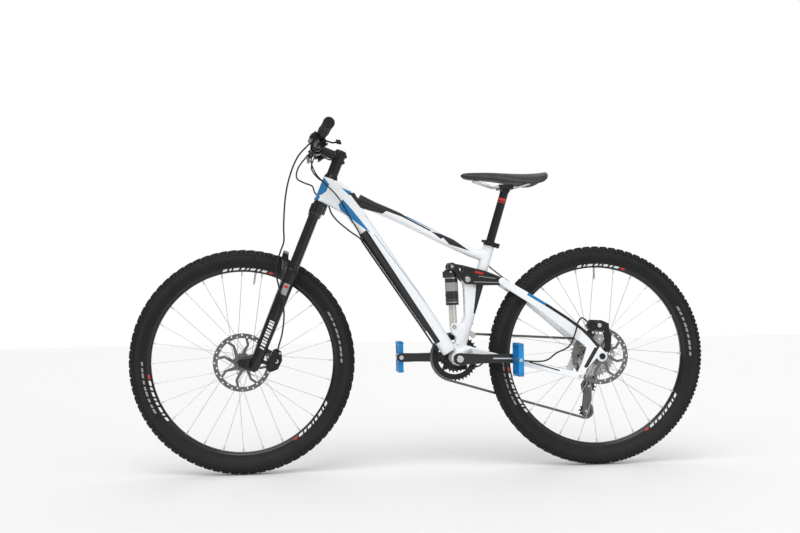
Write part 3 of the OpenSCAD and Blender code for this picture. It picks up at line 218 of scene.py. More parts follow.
def moulded(name, color, rough, size=1100.0, strength=0.25, depth=0.0004):
    """Plastic or rubber with a grain of size lumps per metre."""
    f = Finish(name, color, rough, spec=0.22)
    f.put("Roughness", f.span(f.noise(size * 0.3, 3.0), 0.2, 0.8, rough * 0.85, rough * 1.15))
    f.put("Base Color", f.mix(f.span(f.noise(25.0, 4.0), 0.3, 0.7, 0.0, 1.0), color,
                              [c * 1.35 for c in color]))
    f.bump(f.noise(size, 2.0), strength, depth)
    return f.mat


# ---------------- mesh helpers ----------------
def add(name, verts, faces, body, mat, slot, sharp=35.0):
    """A piece made from millimetre vertices; edges sharper than sharp degrees stay crisp."""
    mesh = bpy.data.meshes.new(name)
    mesh.from_pydata([Vector(v) * MM for v in verts], [], faces)
    mesh.validate()
    return finish_piece(name, mesh, body, mat, sharp)


def finish_piece(name, mesh, body, mat, sharp):
    """Gives a mesh its material and shading, and puts it in the scene on its body."""
    work = bmesh.new()
    work.from_mesh(mesh)
    bmesh.ops.recalc_face_normals(work, faces=work.faces)
    work.to_mesh(mesh)
    work.free()
    mesh.materials.clear()
    mesh.materials.append(mat)
    mesh.shade_smooth()
    mesh.set_sharp_from_angle(angle=math.radians(sharp))
    piece = bpy.data.objects.new(name, mesh)
    bpy.context.scene.collection.objects.link(piece)
    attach(piece, body)
    return piece


def applied(mesh, modifiers):
    """A mesh with modifiers applied; each is (kind, {setting: value})."""
    holder = bpy.data.objects.new("work", mesh)
    bpy.context.scene.collection.objects.link(holder)
    for kind, settings in modifiers:
        made = holder.modifiers.new(kind.lower(), kind)
        for key, value in settings.items():
            setattr(made, key, value)
    graph = bpy.context.evaluated_depsgraph_get()
    result = bpy.data.meshes.new_from_object(holder.evaluated_get(graph))
    bpy.data.objects.remove(holder)
    return result


def cast(name, nodes, mat, voxel, rounds):
    """One smooth piece made of CAD nodes on one body, with their edges rounded like a casting."""
    work = bmesh.new()
    for n in nodes:
        work.from_mesh(NODE[n].data)
    bmesh.ops.remove_doubles(work, verts=work.verts, dist=1e-6)
    mesh = bpy.data.meshes.new(name)
    work.to_mesh(mesh)
    work.free()
    steps = [("REMESH", {"mode": "VOXEL", "voxel_size": voxel * MM}),
             ("SMOOTH", {"factor": 0.5, "iterations": rounds})]
    piece = finish_piece(name, applied(mesh, steps), BODY_OF[nodes[0]], mat, 180.0)
    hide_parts(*nodes)


def revolve(profile, centre, steps):
    """A ring-shaped solid: a closed profile of (radius, y) turned round a Y axis."""
    verts, faces = [], []
    count = len(profile)
    for k in range(steps):
        a = 2 * math.pi * k / steps
        for r, y in profile:
            verts.append((centre[0] + r * math.cos(a), centre[1] + y, centre[2] + r * math.sin(a)))
    for k in range(steps):
        m = (k + 1) % steps
        for i in range(count):
            j = (i + 1) % count
            faces.append((k * count + i, k * count + j, m * count + j, m * count + i))
    return verts, faces


def lathe(profile, base, axis, steps=32, ring=False):
    """(radius, height) rows turned round any axis: capped at both ends, or closed into a ring."""
    axis = Vector(axis).normalized()
    side = axis.orthogonal().normalized()
    other = axis.cross(side)
    verts, faces = [], []
    for r, h in profile:
        for k in range(steps):
            a = 2 * math.pi * k / steps
            verts.append(Vector(base) + axis * h + (side * math.cos(a) + other * math.sin(a)) * r)
    rows = len(profile)
    for i in range(rows if ring else rows - 1):
        n = (i + 1) % rows
        for k in range(steps):
            m = (k + 1) % steps
            faces.append((i * steps + k, i * steps + m, n * steps + m, n * steps + k))
    if not ring:
        faces.append(tuple(range(steps)))
        faces.append(tuple((rows - 1) * steps + k for k in range(steps)))
    return verts, faces


def joined(*solids):
    """Several (vertices, faces) solids as one."""
    verts, faces = [], []
    for v, f in solids:
        base = len(verts)
        verts += list(v)
        faces += [tuple(base + i for i in face) for face in f]
    return verts, faces


def bolt(p, axis, r, h):
    """A cap screw's head with a chamfer and a round socket."""
    rows = [(r, 0), (r, h * 0.75), (r * 0.88, h), (r * 0.55, h), (r * 0.52, h), (r * 0.50, h * 0.35)]
    return lathe(rows, p, axis, 24)


def band(a, b, low, high):
    """A thin outline that follows the line a to b, from low to high millimetres to its left."""
    run = Vector((b[0] - a[0], b[1] - a[1])).normalized()
    left = Vector((-run.y, run.x))
    return [(a[0] + left.x * low, a[1] + left.y * low), (b[0] + left.x * low, b[1] + left.y * low),
            (b[0] + left.x * high, b[1] + left.y * high), (a[0] + left.x * high, a[1] + left.y * high)]


# ---------------- finishes ----------------
# the frame's coloured shapes: convex outlines of (x, z) millimetres in side view
frame_blue = [
    [(310, 932), (287, 900), (297, 878), (326, 880)], [(326, 880), (297, 878), (311, 868), (342, 862)],
    [(342, 862), (311, 868), (316, 860), (308, 842), (336, 844)],
    [(245, 853), (259, 836), (253, 819), (234, 804), (214, 818)],
    [(234, 804), (214, 818), (160, 748), (168, 752)], [(250, 890), (218, 877), (223, 864)],
    band((49, 797), (-69, 740), -4, 0), band((150, 742), (-78, 436), -3, -1.2)]
frame_black = [
    [(226, 874), (169, 872), (90, 828), (121, 807), (190, 826)],
    [(107, 833), (62, 810), (44, 795), (60, 797), (115, 818)],
    band((64, 799), (-30, 750), -5, 0), [(-31, 751), (-85, 736), (-63, 726)],
    [(-60, 741), (-88, 736), (-155, 687), (-91, 708)],
    [(-176, 592), (-206, 592), (-181, 482), (-165, 490)],
    band((10, 504), (-56, 402), 0, 26)]
stay_blue = [band((-336, 553), (-391, 518.6), -4, 9.5),
             [(-546, 387), (-562, 390), (-560, 385), (-544, 382)]]
stay_black = [
    band((-391, 518.6), (-400, 513), -4, 9.5), band((-400, 513), (-457, 474), -4, 9.5),
    band((-457, 474), (-500, 441), -4, 9.5), band((-500, 441), (-527, 414), -4, 9.5),
    band((-527, 414), (-556, 380), -4, 9.5),
    [(-537, 377), (-553, 378), (-515, 316), (-506, 313), (-503, 319)],
    band((-424, 305), (-330, 333), 0, 4)]

white = painted("frame_paint", blue_shapes=frame_blue, black_shapes=frame_black)
stay_white = painted("stay_paint", blue_shapes=stay_blue, black_shapes=stay_black)
guard_paint = painted("guard_paint", black_shapes=[band((190, 785), (-56, 402), 0, 60)])
gloss_black = painted("gloss_black", (0.006, 0.006, 0.0065))
# the rocker is gloss black with a red mark; its two thin pale bands are painted highlights along its edges,
# not paint on the part
rocker_black_with_highlights = painted("rocker_paint_and_highlights", (0.012, 0.012, 0.013),
                       red_shapes=[[(-169, 624), (-196, 617), (-194, 611), (-169, 617)]],
                       pale_and_highlight_shapes=[band((-246, 585), (-165, 588), 0, 1.2),
                                     band((-235, 598), (-180, 606), 0, 1.0)])
anodised = alloy("black_anodised", (0.012, 0.012, 0.013), 0.30, metal=0.3, coat=0.2)
dark_steel = alloy("dark_steel", (0.16, 0.155, 0.15), 0.36, metal=0.95)
bright_steel = alloy("bright_steel", (0.62, 0.62, 0.61), 0.24, metal=1.0)
spoke_steel = alloy("spoke_steel", (0.62, 0.62, 0.63), 0.30, metal=0.8)
rotor_steel = alloy("rotor_steel", (0.17, 0.165, 0.16), 0.30, metal=0.9)
polished = alloy("polished_tube", (0.72, 0.70, 0.66), 0.13, metal=1.0)
crank_alloy = painted("crank_paint", (0.014, 0.014, 0.015),
                      pale_and_highlight_shapes=[[(-272, 350), (-215, 351), (-215, 347), (-272, 346)]])
pedal_blue = alloy("blue_anodised", (0.012, 0.26, 0.62), 0.30, metal=0.45, coat=0.3)
plastic = moulded("black_plastic", (0.010, 0.010, 0.011), 0.42)
grip_rubber = moulded("grip_rubber", (0.020, 0.020, 0.021), 0.62, 700.0, 0.4)
tyre_rubber = moulded("tyre_rubber", (0.012, 0.0115, 0.011), 0.60, 420.0, 0.45, 0.0006)
hose_skin = moulded("hose_skin", (0.016, 0.016, 0.017), 0.42, 1500.0, 0.1)
mark_white = painted("white_marks", (0.75, 0.76, 0.77))
mark_grey = painted("grey_marks", (0.30, 0.30, 0.30))
mark_red = painted("red_marks", (0.52, 0.03, 0.03))


def leather():
    """The saddle cover's grained black."""
    f = Finish("saddle_cover", (0.020, 0.020, 0.022), 0.5, spec=0.45)
    grain = f.node("ShaderNodeTexVoronoi", {"Vector": f.place, "Scale": 700.0}, feature="F1")
    fine = f.noise(2400.0, 2.0)
    f.bump(f.math("ADD", grain, f.math("MULTIPLY", fine, 0.4)), 0.25, 0.0003)
    f.put("Roughness", f.span(f.noise(40.0, 3.0), 0.2, 0.8, 0.38, 0.56))
    f.put("Base Color", f.mix(f.span(f.noise(30.0, 3.0), 0.3, 0.7, 0.0, 1.0), (0.016, 0.016, 0.018),
                              (0.030, 0.030, 0.033)))
    return f.mat


saddle_cover = leather()

FINISHES = {
    gloss_black: ["fork_crown"],
    anodised: ["seat_collar", "seat_lever", "seatpost", "stem", "steerer_spacers", "front_axle", "rear_axle",
               "front_hub", "rear_hub", "brake_blade_left", "brake_blade_right", "front_derailleur",
               "front_caliper", "rear_caliper", "rd_body", "handlebar", "chainrings"],
    guard_paint: ["tube_guard"],
    plastic: ["control_left", "control_right", "shift_paddle_left", "shift_paddle_right",
              "pulley_upper", "pulley_lower"],
    rotor_steel: ["front_rotor", "rear_rotor"],
    grip_rubber: ["grips"],
    bright_steel: ["saddle_rails", "pedal_spindles", "fd_cage", "cassette"],
    dark_steel: ["chain", "rd_cage"],
    spoke_steel: ["front_spokes", "rear_spokes"],
    polished: ["shock_shaft"],
    crank_alloy: ["crank_left", "crank_right"],
    pedal_blue: ["pedal_left", "pedal_right"],
}
for finish, names in FINISHES.items():
    for n in names:
        for k in range(max(1, len(NODE[n].material_slots))):
            if NODE[n].material_slots:
                NODE[n].material_slots[k].material = finish
            else:
                NODE[n].data.materials.append(finish)

# ---------------- camera ----------------
CAMERA_AT = Vector((0.4017, 3.4671, 0.5579))
YAW, PITCH, ROLL = math.radians(5.535), math.radians(-1.359), math.radians(-0.796)
ahead = Vector((-math.sin(YAW) * math.cos(PITCH), -math.cos(YAW) * math.cos(PITCH), -math.sin(PITCH)))
right = Vector((-math.cos(YAW), math.sin(YAW), 0))
up = right.cross(ahead)
right, up = (right * math.cos(ROLL) + up * math.sin(ROLL), up * math.cos(ROLL) - right * math.sin(ROLL))
camera = bpy.data.objects.new("camera", bpy.data.cameras.new("camera"))
camera.data.lens = 49.5
camera.data.sensor_width = 36
camera.matrix_world = Matrix((right, up, -ahead)).transposed().to_4x4()
camera.location = CAMERA_AT
bpy.context.scene.collection.objects.link(camera)
bpy.context.scene.camera = camera


# ---------------- hoses and cables: the CAD's routes, in millimetres ----------------
def smooth_path(points, steps=6):
    """A Catmull-Rom line through the points."""
    pts = [Vector(p) for p in points]
    ends = [pts[0] * 2 - pts[1]] + pts + [pts[-1] * 2 - pts[-2]]
    line = []
    for i in range(1, len(ends) - 2):
        a, b, c, d = ends[i - 1:i + 3]
        for k in range(steps):
            t = k / steps
            line.append(0.5 * (2 * b + (c - a) * t + (2 * a - 5 * b + 4 * c - d) * t * t
                               + (3 * b - a - 3 * c + d) * t * t * t))
    return line + [pts[-1]]


def tube(points, radius, sides=12):
    """A round tube along a line, capped at both ends."""
    verts, faces = [], []
    n = len(points)
    side = None
    for i, p in enumerate(points):
        run = (points[min(i + 1, n - 1)] - points[max(i - 1, 0)]).normalized()
        side = (run.orthogonal() if side is None else side - run * side.dot(run)).normalized()
        other = run.cross(side)
        for k in range(sides):
            a = 2 * math.pi * k / sides
            verts.append(p + (side * math.cos(a) + other * math.sin(a)) * radius)
    for i in range(n - 1):
        for k in range(sides):
            m = (k + 1) % sides
            faces.append((i * sides + k, i * sides + m, (i + 1) * sides + m, (i + 1) * sides + k))
    faces.append(tuple(range(sides)))
    faces.append(tuple((n - 1) * sides + k for k in range(sides)))
    return verts, faces


def hose(name, points, radius, mat, body, bends=None, replaced=()):
    """One stretch of a hose or cable: a round tube along its points.

    bends is (body, other body, where the blend starts, where it ends); its values are not used: when bends is
    given, the piece is only taken off its body and stays where it is.
    """
    path = smooth_path(points)
    piece = add(name, *tube(path, radius), body, mat, "hose_skin", 180.0)
    if bends:
        piece.parent = None
        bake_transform(piece)
    if replaced:
        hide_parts(*replaced)


FRONT_HOSE = [
    (338.9, 154.6, 1019.5), (340.1, 142, 1018.9), (354, 131, 1008), (386, 126, 972), (410, 119, 915),
    (424, 108, 850), (430, 88, 770), (430, 68, 722), (440, 48, 693), (452, 54, 655), (454, 84, 618),
    (442, 93, 560), (432, 92, 500), (438, 90, 440), (448, 76, 404), (453, 60, 385)]
REAR_HOSE_BAR = [
    (338.9, -154.6, 1019.5), (340.1, -142, 1018.9), (353, -128, 1008), (382, -112, 968), (388, -84, 932),
    (366, -62, 914), (339.1, -54, 902), (330.6, -42, 879), (308.4, -37, 859), (289, -34, 838.3),
    (279, -32, 812), (258, -31, 786), (222, -27, 755)]
REAR_HOSE_TUBE = [
    (222, -27, 755), (190, -12, 730.5), (176.5, -8, 708.8), (86.2, -8, 575.2), (6, -8, 456.8),
    (-10, -8, 432.4), (-50, -8, 371), (-72, -8, 328)]
REAR_HOSE_SWING = [
    (-72, -8, 328), (-112, -10, 311), (-180, -18, 318), (-198, 26, 338), (-212, 56, 344), (-300, 66, 340)]
REAR_HOSE_STAY = [
    (-300, 66, 340), (-375, 80, 338), (-413, 86, 362), (-454, 90, 384), (-474, 88, 424),
    (-484, 84, 456), (-498, 74, 470), (-512, 60, 466), (-522.6, 54, 456.6)]
FRONT_CABLE_BAR = [
    (315.2, 143.7, 1011.9), (316.3, 131.1, 1011.4), (330, 116, 1000), (344, 96, 966), (330, 62, 930),
    (300, 40, 900), (268, 34, 868), (246, 32, 836), (222, 30, 792)]
FRONT_CABLE_TUBE = [
    (222, 30, 792), (200, 25, 756), (186, 12, 726.5), (176, 6, 708.6), (85.8, 6, 575), (5.6, 6, 456.6),
    (-10.4, 6, 432.2), (-50, 6, 370.6), (-74, 6, 338), (-92, 6, 322.8)]
REAR_CABLE_BAR = [
    (315.2, -143.7, 1011.9), (316.3, -131.1, 1011.4), (330, -116, 1000), (340, -92, 962),
    (318, -56, 926), (286, -32, 906), (246, -27, 884)]
REAR_CABLE_TUBE = [
    (246, -27, 884), (200, -27, 862), (150, -27, 836), (50, -27, 792), (-60, -27, 734),
    (-150, -25, 694), (-190, -28, 676)]
REAR_CABLE_LINK = [(-190, -28, 676), (-216, -40, 650), (-236, -50, 632)]
REAR_CABLE_STAY = [
    (-236, -50, 632), (-270, -54, 606), (-342, -60, 554), (-400, -68, 516), (-457, -78, 470),
    (-510, -86, 422), (-560, -92, 372)]
REAR_CABLE_LOOP = [(-560, -92, 372), (-592, -96, 334), (-602, -90, 300), (-594.6, -80, 286)]


def make_hoses():
    hose("front_brake_hose", FRONT_HOSE, 2.5, hose_skin, "steering",
         ("steering", "fork_lowers", (430, 88, 770), (454, 84, 618)), ("brake_hoses",))
    hose("rear_hose_bar", REAR_HOSE_BAR, 2.5, hose_skin, "frame",
         ("frame", "steering", (279, -32, 812), (360, -130, 960)))
    hose("rear_hose_tube", REAR_HOSE_TUBE, 2.5, hose_skin, "frame")
    hose("rear_hose_swing", REAR_HOSE_SWING, 2.5, hose_skin, "frame",
         ("frame", "chainstay", (-112, 0, 330), (-212, 0, 344)))
    hose("rear_hose_stay", REAR_HOSE_STAY, 2.5, hose_skin, "seatstay",
         ("chainstay", "seatstay", (-300, 0, 340), (-454, 0, 384)))
    hose("front_shift_bar", FRONT_CABLE_BAR, 2.2, hose_skin, "frame",
         ("frame", "steering", (246, 32, 836), (330, 116, 960)), ("shift_cables",))
    hose("front_shift_tube", FRONT_CABLE_TUBE, 2.2, hose_skin, "frame")
    hose("rear_shift_bar", REAR_CABLE_BAR, 2.2, hose_skin, "frame",
         ("frame", "steering", (250, -27, 886), (330, -116, 960)))
    hose("rear_shift_tube", REAR_CABLE_TUBE, 2.2, hose_skin, "frame")
    hose("rear_shift_link", REAR_CABLE_LINK, 2.2, hose_skin, "rocker",
         ("frame", "rocker", (-190, 0, 676), (-236, 0, 632)))
    hose("rear_shift_stay", REAR_CABLE_STAY, 2.2, hose_skin, "seatstay")
    hose("rear_shift_loop", REAR_CABLE_LOOP, 2.2, hose_skin, "seatstay",
         ("seatstay", "rd_body", (-592, 0, 334), (-594.6, 0, 286)))


# ---------------- wheels ----------------
def tyre(name, node, centre):
    """A casing with shoulder, side and middle knobs, all solid geometry."""
    casing = [(292.6, -11.8), (292.6, -13.4), (297, -14.4), (303, -18), (309, -22.6), (315, -25.6),
              (321, -26.8), (327, -26.4), (333, -24.2), (338, -20.4), (342, -14.8), (344.4, -7.6), (345.2, 0),
              (344.4, 7.6), (342, 14.8), (338, 20.4), (333, 24.2), (327, 26.4), (321, 26.8), (315, 25.6),
              (309, 22.6), (303, 18), (297, 14.4), (292.6, 13.4), (292.6, 11.8), (300, 12.6), (318, 22),
              (338, 8), (341, 0), (338, -8), (318, -22), (300, -12.6)]
    solids = [revolve(casing, centre, 256)]
    pitches = 76
    mid_radius, half_height, half_width = 318, 27.0, 26.6
    # rows of [angle over the casing in degrees, shift along the tread in pitches, length, width, height]
    knobs = [(6, 0.0, 10.5, 6.4, 4.2), (21, 0.5, 10.5, 6.6, 4.2), (38, 0.0, 9.0, 6.4, 4.4),
             (38, 0.5, 7.5, 5.6, 4.0), (57, 0.22, 9.4, 8.4, 4.9), (57, 0.72, 8.0, 7.6, 4.4)]
    verts, faces = [], []
    for side in (-1, 1):
        for lean, shift, long, wide, high in knobs:
            lean_a = math.radians(lean) * side
            base = Vector((mid_radius + half_height * math.cos(lean_a), half_width * math.sin(lean_a)))
            out = Vector((math.cos(lean_a) / half_height, math.sin(lean_a) / half_width)).normalized()
            across = Vector((-out.y, out.x))
            for k in range(pitches):
                a = 2 * math.pi * (k + shift + (0.25 if side > 0 else 0.0)) / pitches
                first = len(verts)
                for level, shrink in ((-1.2, 1.0), (high, 0.78)):
                    for i, j in ((-1, -1), (1, -1), (1, 1), (-1, 1)):
                        ry = base + out * level + across * (j * wide * 0.5 * shrink)
                        turn = a + i * (long * 0.5 * shrink) / ry.x
                        verts.append((centre[0] + ry.x * math.cos(turn), ry.y,
                                      centre[2] + ry.x * math.sin(turn)))
                faces += [tuple(first + i for i in (0, 3, 2, 1)), tuple(first + i for i in (4, 5, 6, 7))]
                faces += [(first + i, first + (i + 1) % 4, first + 4 + (i + 1) % 4, first + 4 + i)
                          for i in range(4)]
    piece = add(name, *joined(solids[0], (verts, faces)), BODY_OF[node], tyre_rubber, "tyre_rubber", 40.0)
    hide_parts(node)
    lines = []
    for side in (-1, 1):
        for r, y in ((299.0, 15.8), (311.5, 24.35)):
            lines.append(revolve([(r, side * y), (r + 0.9, side * (y + 0.9)), (r + 1.8, side * (y + 0.9))],
                                 centre, 192))
    add(name + "_beads", *joined(*lines), BODY_OF[node], tyre_rubber, "tyre_rubber")
    marks = []
    bar_count, bar_pitch = 9, 3.6
    for side in (-1, 1):
        for arc in (150, 330):
            for k in range(bar_count):
                a0 = math.radians(arc + bar_pitch * k)
                marks.append(ring_mark(centre, 303.6, 309.0, a0, math.radians(2.2 if k % 3 else 2.9), 0.1,
                                       side * 18.9, side * 22.9))
    add(name + "_marks", *joined(*marks), BODY_OF[node], mark_grey, "tyre_rubber")


def ring_mark(centre, r0, r1, start, sweep, slant, y0, y1, steps=4, thick=0.35):
    """A slanted bar printed on a ring's side between two radii, at sideways places y0 and y1."""
    verts, faces = [], []
    lean = slant / 10.0
    for k in range(steps + 1):
        a = start + sweep * k / steps
        for r, y, turn in ((r0, y0, 0.0), (r1, y1, lean)):
            for lift in (0.0, thick):
                push = lift if y0 > 0 else -lift
                verts.append((centre[0] + r * math.cos(a + turn), centre[1] + y + push,
                              centre[2] + r * math.sin(a + turn)))
    for k in range(steps):
        b, n = 4 * k, 4 * (k + 1)
        faces += [(b, b + 2, n + 2, n), (b + 1, n + 1, n + 3, b + 3), (b, n, n + 1, b + 1),
                  (b + 2, b + 3, n + 3, n + 2)]
    last = 4 * steps
    faces += [(0, 1, 3, 2), (last, last + 2, last + 3, last + 1)]
    return verts, faces


def rim(name, node, centre, valve_turn):
    """A hollow box section with a valve, spoke eyelets and printed bars and arcs."""
    r = 280.5
    spokes_per_side = 14
    shape = [(r, -5.5), (r + 1.2, -8.2), (r + 5, -11.4), (r + 11, -13.2), (r + 17.2, -13.3),
             (r + 17.4, -11.4), (r + 11.6, -10.4), (r + 9, -6), (r + 9, 6), (r + 11.6, 10.4),
             (r + 17.4, 11.4), (r + 17.2, 13.3), (r + 11, 13.2), (r + 5, 11.4), (r + 1.2, 8.2), (r, 5.5)]
    piece = add(name, *revolve(shape, centre, 256), BODY_OF[node], gloss_black, "black_alloy", 30.0)
    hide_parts(node)
    valve_at = turned(centre + Vector((0, 0, r)), centre, math.radians(valve_turn))
    inward = (centre - valve_at).normalized()
    valve = joined(lathe([(2.9, -2), (2.9, 32), (2.1, 33), (2.1, 38)], valve_at, inward, 20),
                   lathe([(4.6, -0.5), (4.6, 2.2), (3.2, 2.8)], valve_at, inward, 20))
    add(name + "_valve", *valve, BODY_OF[node], bright_steel, "steel")
    nipples = []
    for k in range(2 * spokes_per_side):
        left = k % 2 == 0
        a = 2 * math.pi * (k // 2) / spokes_per_side + (0 if left else math.pi / spokes_per_side)
        foot = Vector((centre[0] + (r + 0.5) * math.cos(a), 3 if left else -3,
                       centre[2] + (r + 0.5) * math.sin(a)))
        nipples.append(lathe([(3.4, 0), (3.2, 1.2), (2.3, 1.6)], foot, (centre - foot), 12))
    add(name + "_eyelets", *joined(*nipples), BODY_OF[node], bright_steel, "steel")
    bars, reds, rings = [], [], []
    # each printed bar's sweep and the gap after it, in degrees
    bar_rows = [(2.6, 1.5), (1.2, 1.2), (3.4, 1.5), (2.0, 1.3),
                (1.1, 1.3), (2.8, 1.4), (1.6, 1.2), (3.0, 1.3)]
    for side in (-1, 1):
        y0, y1 = side * 11.75, side * 13.3
        # each group of bars starts at one of these angles, in degrees
        for arc in (-38, 78, 206):
            start = math.radians(arc)
            for share, gap in bar_rows:
                bars.append(ring_mark(centre, r + 5.6, r + 12.0, start, math.radians(share), 0.16,
                                      y0, y1))
                start += math.radians(share + gap)
            reds.append(ring_mark(centre, r + 5.6, r + 12.0, start, math.radians(2.6), 0.16, y0, y1))
            rings.append(ring_mark(centre, r + 13.2, r + 14.4, math.radians(arc - 14), math.radians(40), 0.0,
                                   side * 13.3, side * 13.32, 24))
    add(name + "_bars", *joined(*bars), BODY_OF[node], mark_white, "black_alloy")
    add(name + "_red_bars", *joined(*reds), BODY_OF[node], mark_red, "black_alloy")
    add(name + "_arcs", *joined(*rings), BODY_OF[node], mark_grey, "black_alloy")


def make_wheels():
    tyre("front_tyre_knobbly", "front_tyre", FRONT_AXLE)
    tyre("rear_tyre_knobbly", "rear_tyre", REAR_AXLE)
    rim("front_rim_section", "front_rim", FRONT_AXLE, 8.7)
    rim("rear_rim_section", "rear_rim", REAR_AXLE, 0.0)


# ---------------- frame, fork and cast parts ----------------
def make_frame():
    cast("main_frame", ["head_tube", "top_tube", "down_tube", "seat_tube", "pivot_strut", "bb_shell"],
         white, 2.2, 16)
    cast("chainstay_forging", ["chainstay"], stay_white, 1.6, 6)
    cast("seatstay_forging", ["seatstay"], stay_white, 1.6, 6)
    cast("rocker_forging", ["rocker"], rocker_black_with_highlights, 1.4, 5)
    cast("fork_casting", ["fork_lowers"], gloss_black, 1.6, 8)
    cast("stem_forging", ["stem"], anodised, 1.2, 4)
    cast("crank_left_forging", ["crank_left"], crank_alloy, 1.3, 5)
    cast("crank_right_forging", ["crank_right"], crank_alloy, 1.3, 5)
    for side in ("left", "right"):
        cast("control_%s_body" % side, ["control_" + side], plastic, 1.1, 4)
        cast("brake_lever_" + side, ["brake_blade_" + side], anodised, 0.9, 4)
        cast("shift_lever_" + side, ["shift_paddle_" + side], plastic, 0.9, 4)
    cast("front_brake_caliper", ["front_caliper"], anodised, 1.1, 4)
    cast("rear_brake_caliper", ["rear_caliper"], anodised, 1.1, 4)
    cast("derailleur_body", ["rd_body"], anodised, 1.1, 4)


def surface(node, x, z, side):
    """The sideways place where a node's outer face lies at (x, z), on the left (1) or right (-1)."""
    mesh = NODE[node].data
    tree = BVHTree.FromPolygons([v.co for v in mesh.vertices], [f.vertices for f in mesh.polygons])
    place = tree.ray_cast(Vector((x, side * 600, z)) * MM, Vector((0, -side, 0)))[0]
    return place.y / MM if place else None


def leg_patch(s0, s1, a0, a1, r, lean=0.0, steps=6):
    """A thin printed patch round the left fork leg, from s0 to s1 up it and a0 to a1 degrees forward."""
    verts, faces = [], []
    for k in range(steps + 1):
        a = math.radians(a0 + (a1 - a0) * k / steps)
        out = ALONG_Y * math.cos(a) + FORE_STEER * math.sin(a)
        for s, lift in ((s0, 0.0), (s1, 0.0), (s0, 0.35), (s1, 0.35)):
            verts.append(steer(LEG_AHEAD, LEG_SIDE, s + lean * k / steps) + out * (r + lift))
    for k in range(steps):
        b, n = 4 * k, 4 * (k + 1)
        faces += [(b, n, n + 1, b + 1), (b + 2, b + 3, n + 3, n + 2), (b, b + 2, n + 2, n),
                  (b + 1, n + 1, n + 3, b + 3)]
    last = 4 * steps
    return verts, faces + [(0, 1, 3, 2), (last, last + 2, last + 3, last + 1)]


def fork_details():
    """Marks, seals and collars on the fork, the caliper's bolts, and the grips' ribs and caps."""
    bars = []
    bar_count, lowest, bar_pitch = 10, 62, 9.6
    for k in range(bar_count):
        low = lowest + bar_pitch * k
        bars.append(leg_patch(low, low + (6.5 if k % 3 else 4.0), -24, 22, 17.5 + (low - 30) / 60.0,
                              lean=2.5))
    add("fork_bars", *joined(*bars), "fork_lowers", mark_white, "fork_paint")
    add("fork_label", *leg_patch(240, 276, -30, 26, 19.5), "fork_lowers", mark_grey, "fork_paint")
    add("fork_label_red", *leg_patch(262, 270, -22, 18, 19.8), "fork_lowers", mark_red, "fork_paint")
    seals, collars = [], []
    for y in (-LEG_SIDE, LEG_SIDE):
        seals.append(lathe([(16.6, 0), (20.4, 0.8), (20.4, 6.0), (18.6, 8.4), (16.6, 8.8)],
                           steer(LEG_AHEAD, y, 313), UP_STEER, 40))
        collars.append(lathe([(16.2, 0), (18.4, 0.4), (18.4, 2.2), (16.2, 2.6)],
                             steer(LEG_AHEAD, y, 506), UP_STEER, 40))
    add("fork_seals", *joined(*seals), "fork_lowers", plastic, "black_plastic")
    add("crown_collars", *joined(*collars), "steering", dark_steel, "steel")
    side_bolts("front_caliper_bolts", [("front_caliper", (457, 352), 1, 6.5, 1.2),
                                       ("front_caliper", (446, 376), 1, 4.0, 2.0),
                                       ("front_caliper", (463, 320), 1, 4.0, 2.0)], "fork_lowers")
    ribs, caps = [], []
    for side in (-1, 1):
        inner, outer = steer(75, 130 * side, 726), steer(60, 355 * side, 742)
        run = (outer - inner).normalized()
        rib_count, first_rib, rib_pitch = 18, 8, 5.4
        for k in range(rib_count):
            ribs.append(lathe([(15.0, 0), (15.9, 0.6), (15.9, 2.8), (15.0, 3.4)],
                              outer - run * (first_rib + rib_pitch * k), run, 32))
        caps.append(lathe([(15.3, 0), (15.6, 1.0), (14.6, 3.0), (4.0, 3.2), (3.6, 2.2)],
                          outer + run * 3.2, run, 32))
    add("grip_ribs", *joined(*ribs), "steering", grip_rubber, "grip_rubber")
    add("grip_caps", *joined(*caps), "steering", plastic, "black_plastic")


def on_both_sides(node, place, radius, height):
    return [(node, place, side, radius, height) for side in (1, -1)]


def side_bolts(name, spots, body):
    """Cap screws standing on a node's outer face; each spot is (node, place, side, radius, height)."""
    sunk = 0.6
    solids = []
    for node, (x, z), side, r, h in spots:
        y = surface(node, x, z, side)
        if y is not None:
            solids.append(bolt(Vector((x, y - side * sunk, z)), Vector((0, side, 0)), r, h + sunk))
    if solids:
        add(name, *joined(*solids), body, bright_steel, "steel")


